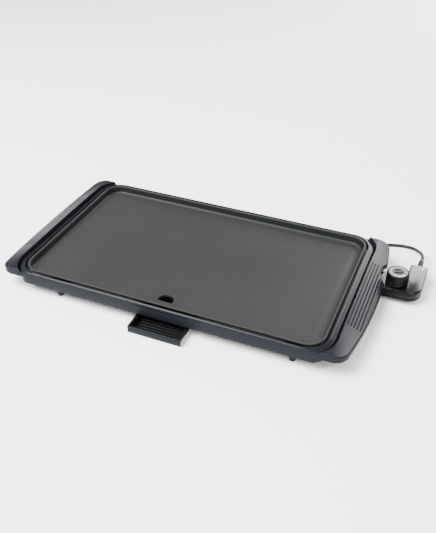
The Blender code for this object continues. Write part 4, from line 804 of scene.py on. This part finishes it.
def makeTray():
    # nested rounded rectangles: outer shell up to the flanges, over the rim, down the well and across its floor
    low, high = boxMillimetres("drip_tray")
    centre, half = (low + high)[:2] / 2, (high - low)[:2] / 2
    bottom, top = low[2], high[2]
    rows = []
    for sideIn, z, endIn, radius in (
            (3.8, bottom, 0.8, 2.2), (3.15, bottom + 0.2, 0.15, 2.8), (3, bottom + 0.8, 0, 3.0),
            (3, top - 2.3, 0, 3.0), (2.8, top - 2.0, 0, 3.0), (0.4, top - 2.0, 0, 3.0), (0, top - 1.7, 0, 3.2),
            (0, top - 0.5, 0, 3.2), (0.15, top - 0.15, 0.15, 3.1), (0.5, top, 0.5, 2.8), (4.0, top, 2.0, 2.4),
            (4.45, top - 0.15, 2.25, 2.3), (4.6, top - 0.6, 2.4, 2.2), (4.75, bottom + 2.6, 2.5, 2.2),
            (5.1, bottom + 1.9, 2.9, 2.0), (5.9, bottom + 1.6, 3.7, 1.6)):
        loop = roundedLoop(half[0] - sideIn, half[1] - endIn, radius, 8, 10) + centre
        rows.append(ringAt(loop, z))
    makeSurface("tray_shell", rows, "tray", "black_plastic", ("drip_tray",), finish="tray")
    # painted shade: the tray's front takes the duller side copy of the frame plastic
    makeBlock("tray_front", (low[0], low[1] - 0.05, bottom), (high[0], low[1] + tray["front"], top + 0.02),
              "tray", "black_plastic", 0.5, "satin")
    # a rib is a rounded section along X that shrinks at both ends
    stations = np.array([-1.0, -0.985, -0.96, 0, 0.96, 0.985, 1.0])
    size = np.array([0.2, 0.75, 1, 1, 1, 0.75, 0.2])[:, None]
    section = roundedSection(*tray["ribHalf"], 2.6, 20)
    x = centre[0] + stations[:, None] * (half[0] - tray["ribMargin"])
    for number in range(tray["ribs"]):
        y = low[1] + tray["firstRib"] + number * tray["ribPitch"]
        grid = stacked(x, y + size * section[:, 0], bottom + tray["ribRise"] + size * section[:, 1])
        makeSurface(f"tray_rib_{number}", grid, "tray", "black_plastic", finish="tray", sharpAbove=60)


control = {
    "frontCorner": 22.0, "armCorner": 6.0, "armInner": 5.0, "innerCorner": 3.0, "leftCorner": 1.2,
    "armWide": 28.0, "bodyDeep": 45.0, "collarsY": (52.0, 78.0), "collarsZ": 20.0,
    # a collar's radius and distance from the face that meets the griddle
    "collar": [(2.6, 0.6), (2.6, -0.5), (2.9, -0.75), (3.9, -0.75), (4.3, -0.45), (4.4, 0.6)],
}


def controlOutline(inset):
    # the L-shaped plan with every corner rounded: centre + radius (cos a, sin a), radii less the inset
    low, high = boxMillimetres("control_upper_housing")
    left, right, front, back = low[0] + inset, high[0] - inset, low[1] + inset, high[1] - inset
    armLeft, bodyBack = high[0] - control["armWide"] + inset, front - 2 * inset + control["bodyDeep"]
    t = np.linspace(0, 1, 15)
    side = control["leftCorner"]
    corners = [(left, front, side, 180, 270), (right, front, control["frontCorner"], 270, 360),
               (right, back, control["armCorner"], 0, 90), (armLeft, back, control["armInner"], 90, 180),
               (armLeft, bodyBack, -control["innerCorner"], 0, -90), (left, bodyBack, side, 90, 180)]
    parts = []
    for x, y, radius, start, end in corners:
        if radius > 0:
            r = max(radius - inset, 0.25)
            cx = x - r if x == right else x + r
            cy = y - r if y in (back, bodyBack) else y + r
        else:
            r = -radius + inset
            cx, cy = x - r, y + r
        angle = np.radians(start + (end - start) * t)
        parts.append(np.column_stack([cx + r * np.cos(angle), cy + r * np.sin(angle)]))
    return np.vstack(parts)


def makeControl():
    # each housing is the outline at a list of insets and heights
    low, high = boxMillimetres("control_upper_housing")
    under, over = boxMillimetres("control_lower_housing")
    coverProfile = [(0.7, low[2] - 0.15), (0.25, low[2]), (0, low[2] + 0.3), (0, high[2] - 2.2),
                    (0.18, high[2] - 1.3), (0.6, high[2] - 0.6), (1.25, high[2] - 0.15), (2.1, high[2])]
    baseProfile = [(2.0, under[2]), (1.1, under[2] + 0.15), (0.35, under[2] + 0.8), (0, under[2] + 1.8),
                   (0, over[2] - 0.2), (0.25, over[2]), (0.7, over[2] + 0.1)]
    cover, base = ([ringAt(controlOutline(inset), z) for inset, z in profile]
                   for profile in (coverProfile, baseProfile))
    piece = makeSurface("control_cover", cover, "control", "black_plastic", ("control_upper_housing",),
                        flatEnds=True)
    # painted shade: the cover's sides and the whole bottom take the duller side copy of the control plastic
    shadeSteepFaces(piece, "controlSide", 0.8)
    makeSurface("control_bottom", base, "control", "black_plastic", ("control_lower_housing",), "controlSide",
                flatEnds=True)
    t = np.linspace(0, 2 * math.pi, 36, endpoint=False)
    profile = np.array(control["collar"])
    for number, y in enumerate(control["collarsY"]):
        grid = stacked(low[0] + profile[:, 1:], y + profile[:, :1] * np.cos(t),
                       control["collarsZ"] + profile[:, :1] * np.sin(t))
        makeSurface(f"terminal_collar_{number}", grid, "control", "black_plastic", wrapRows=True)


makeFrameRing()
makeHandle("handle_right", 1)
makeHandle("handle_left", -1)
makeFrameDetails()
makeTray()
makeControl()
print("frame, tray and control made")


def makeKnob():
    # turned body with fine flutes: r - depth (half - half cos(n a)) where the profile's last value says so
    low, high = knobLow[2], knobHigh[2]
    r = knob["radius"]
    profile = np.array([
        (2.0, low, 0), (r - 1.6, low, 0), (r - 0.7, low + 0.25, 0), (r - 0.15, low + 1.0, 0), (r, low + 2.2, 0),
        (r, low + 6.2, 0), (r - 0.2, low + 6.8, 0), (r - 0.55, low + 7.2, 0), (r - 0.4, low + 7.7, 0.6),
        (r - 0.25, low + 8.6, 1), (r - 0.25, high - 3.4, 1), (r - 0.3, high - 2.6, 0.5),
        (r - 0.3, high - 2.0, 0),
        (r - 0.45, high - 1.0, 0), (r - 0.95, high - 0.3, 0), (r - 1.6, high, 0), (r - 2.1, high, 0),
        (r - 2.5, high - 0.25, 0), (r - 2.55, high - 0.75, 0), (2.0, high - 0.75, 0)])
    angle = np.linspace(0, 2 * math.pi, 480, endpoint=False)
    flute = 0.5 - 0.5 * np.cos(knob["flutes"] * angle)
    radius = profile[:, :1] - profile[:, 2:] * knob["fluteDepth"] * flute
    grid = stacked(knobCentre[0] + radius * np.cos(angle), knobCentre[1] + radius * np.sin(angle),
                   profile[:, 1:2])
    # painted shade: the knob's body takes the duller side copy of the control plastic
    makeSurface("knob_body", grid, "dial", "black_plastic", ("dial_knob",), "controlSide")
    face, z = knob["faceRadius"], high - 0.45
    faceProfile = [(1.5, z), (face, z), (face + 0.1, z + 0.15), (face, z + 0.45), (face - 0.4, z + 0.6),
                   (face - 0.9, z + 0.45), (8.4, z + 0.45), (8.1, z + 0.2), (1.5, z + 0.2)]
    makeSurface("knob_face", turnedGrid(faceProfile, knobCentre, 96), "dial", "dial_print", ("dial_plate",))
    # the bar across the middle is a rounded section that narrows at its ends
    stations = np.array([-7.2, -7.0, -6.4, -5, -2, 0, 2, 5, 6.4, 7.0, 7.2])
    size = np.array([0.3, 0.6, 0.9, 1.0, 1.0, 1.0, 1.0, 1.0, 0.9, 0.6, 0.3])
    lean = math.radians(knob["barLean"])
    rows = []
    for along, scale in zip(stations, size):
        across, rise = roundedSection(1.5 * scale, 0.75 * scale, 3, 28).T
        rows.append(stacked(knobCentre[0] + along * math.cos(lean) - across * math.sin(lean),
                            knobCentre[1] + along * math.sin(lean) + across * math.cos(lean), z + 0.3 + rise))
    makeSurface("knob_bar", rows, "dial", "black_plastic", sharpAbove=60)


def makeLens():  # a dome: (0.86 reach sin a, top - 1.1 (1 - cos a)), with a straight foot
    low, high = boxMillimetres("indicator_lens")
    centre, reach, top = (low + high) / 2, (high[0] - low[0]) / 2, high[2]
    t = np.linspace(0.02, 1, 10)
    dome = np.column_stack([reach * 0.86 * np.sin(t * math.pi / 2), top - 1.1 * (1 - np.cos(t * math.pi / 2))])
    profile = np.vstack([dome, [(reach * 0.9, top - 1.25), (reach, top - 1.3), (reach, low[2]), (0.4, low[2])]])
    makeSurface("lamp_lens", turnedGrid(profile, centre, 40), "control", "lens", ("indicator_lens",))


relief = {"half": 5.3, "taper": 1.4, "ribPitch": 5.6, "ribDepth": 1.1, "ribbed": 0.78}  # ribbed: of its length


def makeRelief():
    # sections along Y, half - taper t wide; half + half cos(2 pi distance / pitch) chooses rib or groove
    low, high = boxMillimetres("strain_relief")
    centreX, centreZ = (low[0] + high[0]) / 2, (low[2] + high[2]) / 2
    length = high[1] - low[1]
    along = np.linspace(0, 1, 121)
    taper = relief["half"] - relief["taper"] * along
    rib = 0.5 + 0.5 * np.cos(2 * math.pi * along * length / relief["ribPitch"])
    ribs = taper - relief["ribDepth"] * (1 - ease((rib - 0.25) / 0.35))
    half = np.where(along < relief["ribbed"], ribs, taper - 1.0 * ease((along - relief["ribbed"]) / 0.06))
    half = half * (1 - 0.25 * ease((along - 0.97) / 0.03))
    rows = []
    for position, size in zip(along, half):
        section = roundedSection(size, size, 2.8 - 0.7 * position, 36)
        rows.append(stacked(centreX + section[:, 0], low[1] + position * length, centreZ + section[:, 1]))
    makeSurface("cord_relief", rows, "control", "cord", ("strain_relief",), sharpAbove=55)


foot = {"shoulder": 16.7, "stud": 2.5, "bore": 0.6}


def makeFoot(name, node):  # a turned profile: the foot up to its shoulder, then the stud
    low, high = boxMillimetres(node)
    centre, reach = (low + high) / 2, (high[0] - low[0]) / 2
    shoulder, stud, bore = foot["shoulder"], foot["stud"], foot["bore"]
    profile = [(bore, 0), (reach - 1.1, 0), (reach - 0.4, 0.25), (reach - 0.05, 0.9), (reach, 2.0),
               (reach - 0.25, 9.0), (reach - 0.1, shoulder - 0.6), (reach - 0.5, shoulder), (stud, shoulder),
               (stud, high[2]), (bore, high[2])]
    makeSurface(name, turnedGrid(profile, centre, 48), "base", "rubber", (node,))


makeKnob()
makeLens()
makeRelief()
for corner in ("back_left", "back_right", "front_left", "front_right"):
    makeFoot("rubber_foot_" + corner, "foot_" + corner)
print("knob, lens, relief and feet made")


def finishSolids():  # the solids that stay take the finish of their slot
    for name, piece in cadNodes.items():
        slot = piece.data.materials[0].name.split(".")[0] if piece.data.materials else "steel"
        if slot in finishes:
            piece.material_slots[0].link = "OBJECT"
            piece.material_slots[0].material = finishes["tray" if name == "tray_support" else slot]


finishSolids()


studio = {
    "floorHalf": 7.0, "world": 0.6, "worldColour": (0.95, 0.955, 1.0, 1), "aim": (0, 0, 0.03),
    # name, place in metres, size and power
    "lamps": [("key", (-1.1, -0.9, 2.2), 1.8, 330), ("fill", (1.7, -1.5, 1.9), 1.6, 90),
              ("back", (0.6, 2.1, 0.95), 1.25, 62)],
}


def makeStudio():
    count, half = 9, studio["floorHalf"]  # points along each side of the floor, and half its width
    x, y = np.meshgrid(np.linspace(-half, half, count), np.linspace(-half, half, count))
    points = stacked(x, y, 0.0).reshape(-1, 3)
    index = np.arange(count * count).reshape(count, count)
    quads = np.stack([index[:-1, :-1], index[:-1, 1:], index[1:, 1:], index[1:, :-1]], -1).reshape(-1, 4)
    mesh = bpy.data.meshes.new("floor")
    mesh.from_pydata(points.tolist(), [], quads.tolist())
    floor = bpy.data.objects.new("floor", mesh)
    link(floor)
    paper = Finish("paleFloor", Roughness=0.9)
    paper.feed("Base Color", paper.between(paper.noise(3, 2), (0.90, 0.90, 0.90, 1), (0.93, 0.93, 0.93, 1)))
    mesh.materials.append(paper.material)
    world = bpy.data.worlds.new("studio")
    world.use_nodes = True
    background = world.node_tree.nodes["Background"]
    background.inputs[0].default_value = studio["worldColour"]
    background.inputs[1].default_value = studio["world"]
    bpy.context.scene.world = world
    aim = Vector(studio["aim"])
    for name, place, size, power in studio["lamps"]:
        data = bpy.data.lights.new(name, "AREA")
        data.size, data.energy = size, power
        lamp = bpy.data.objects.new(name, data)
        lamp.location = place
        lamp.rotation_euler = (aim - Vector(place)).to_track_quat("-Z", "Y").to_euler()
        link(lamp)


makeStudio()
print("studio set")
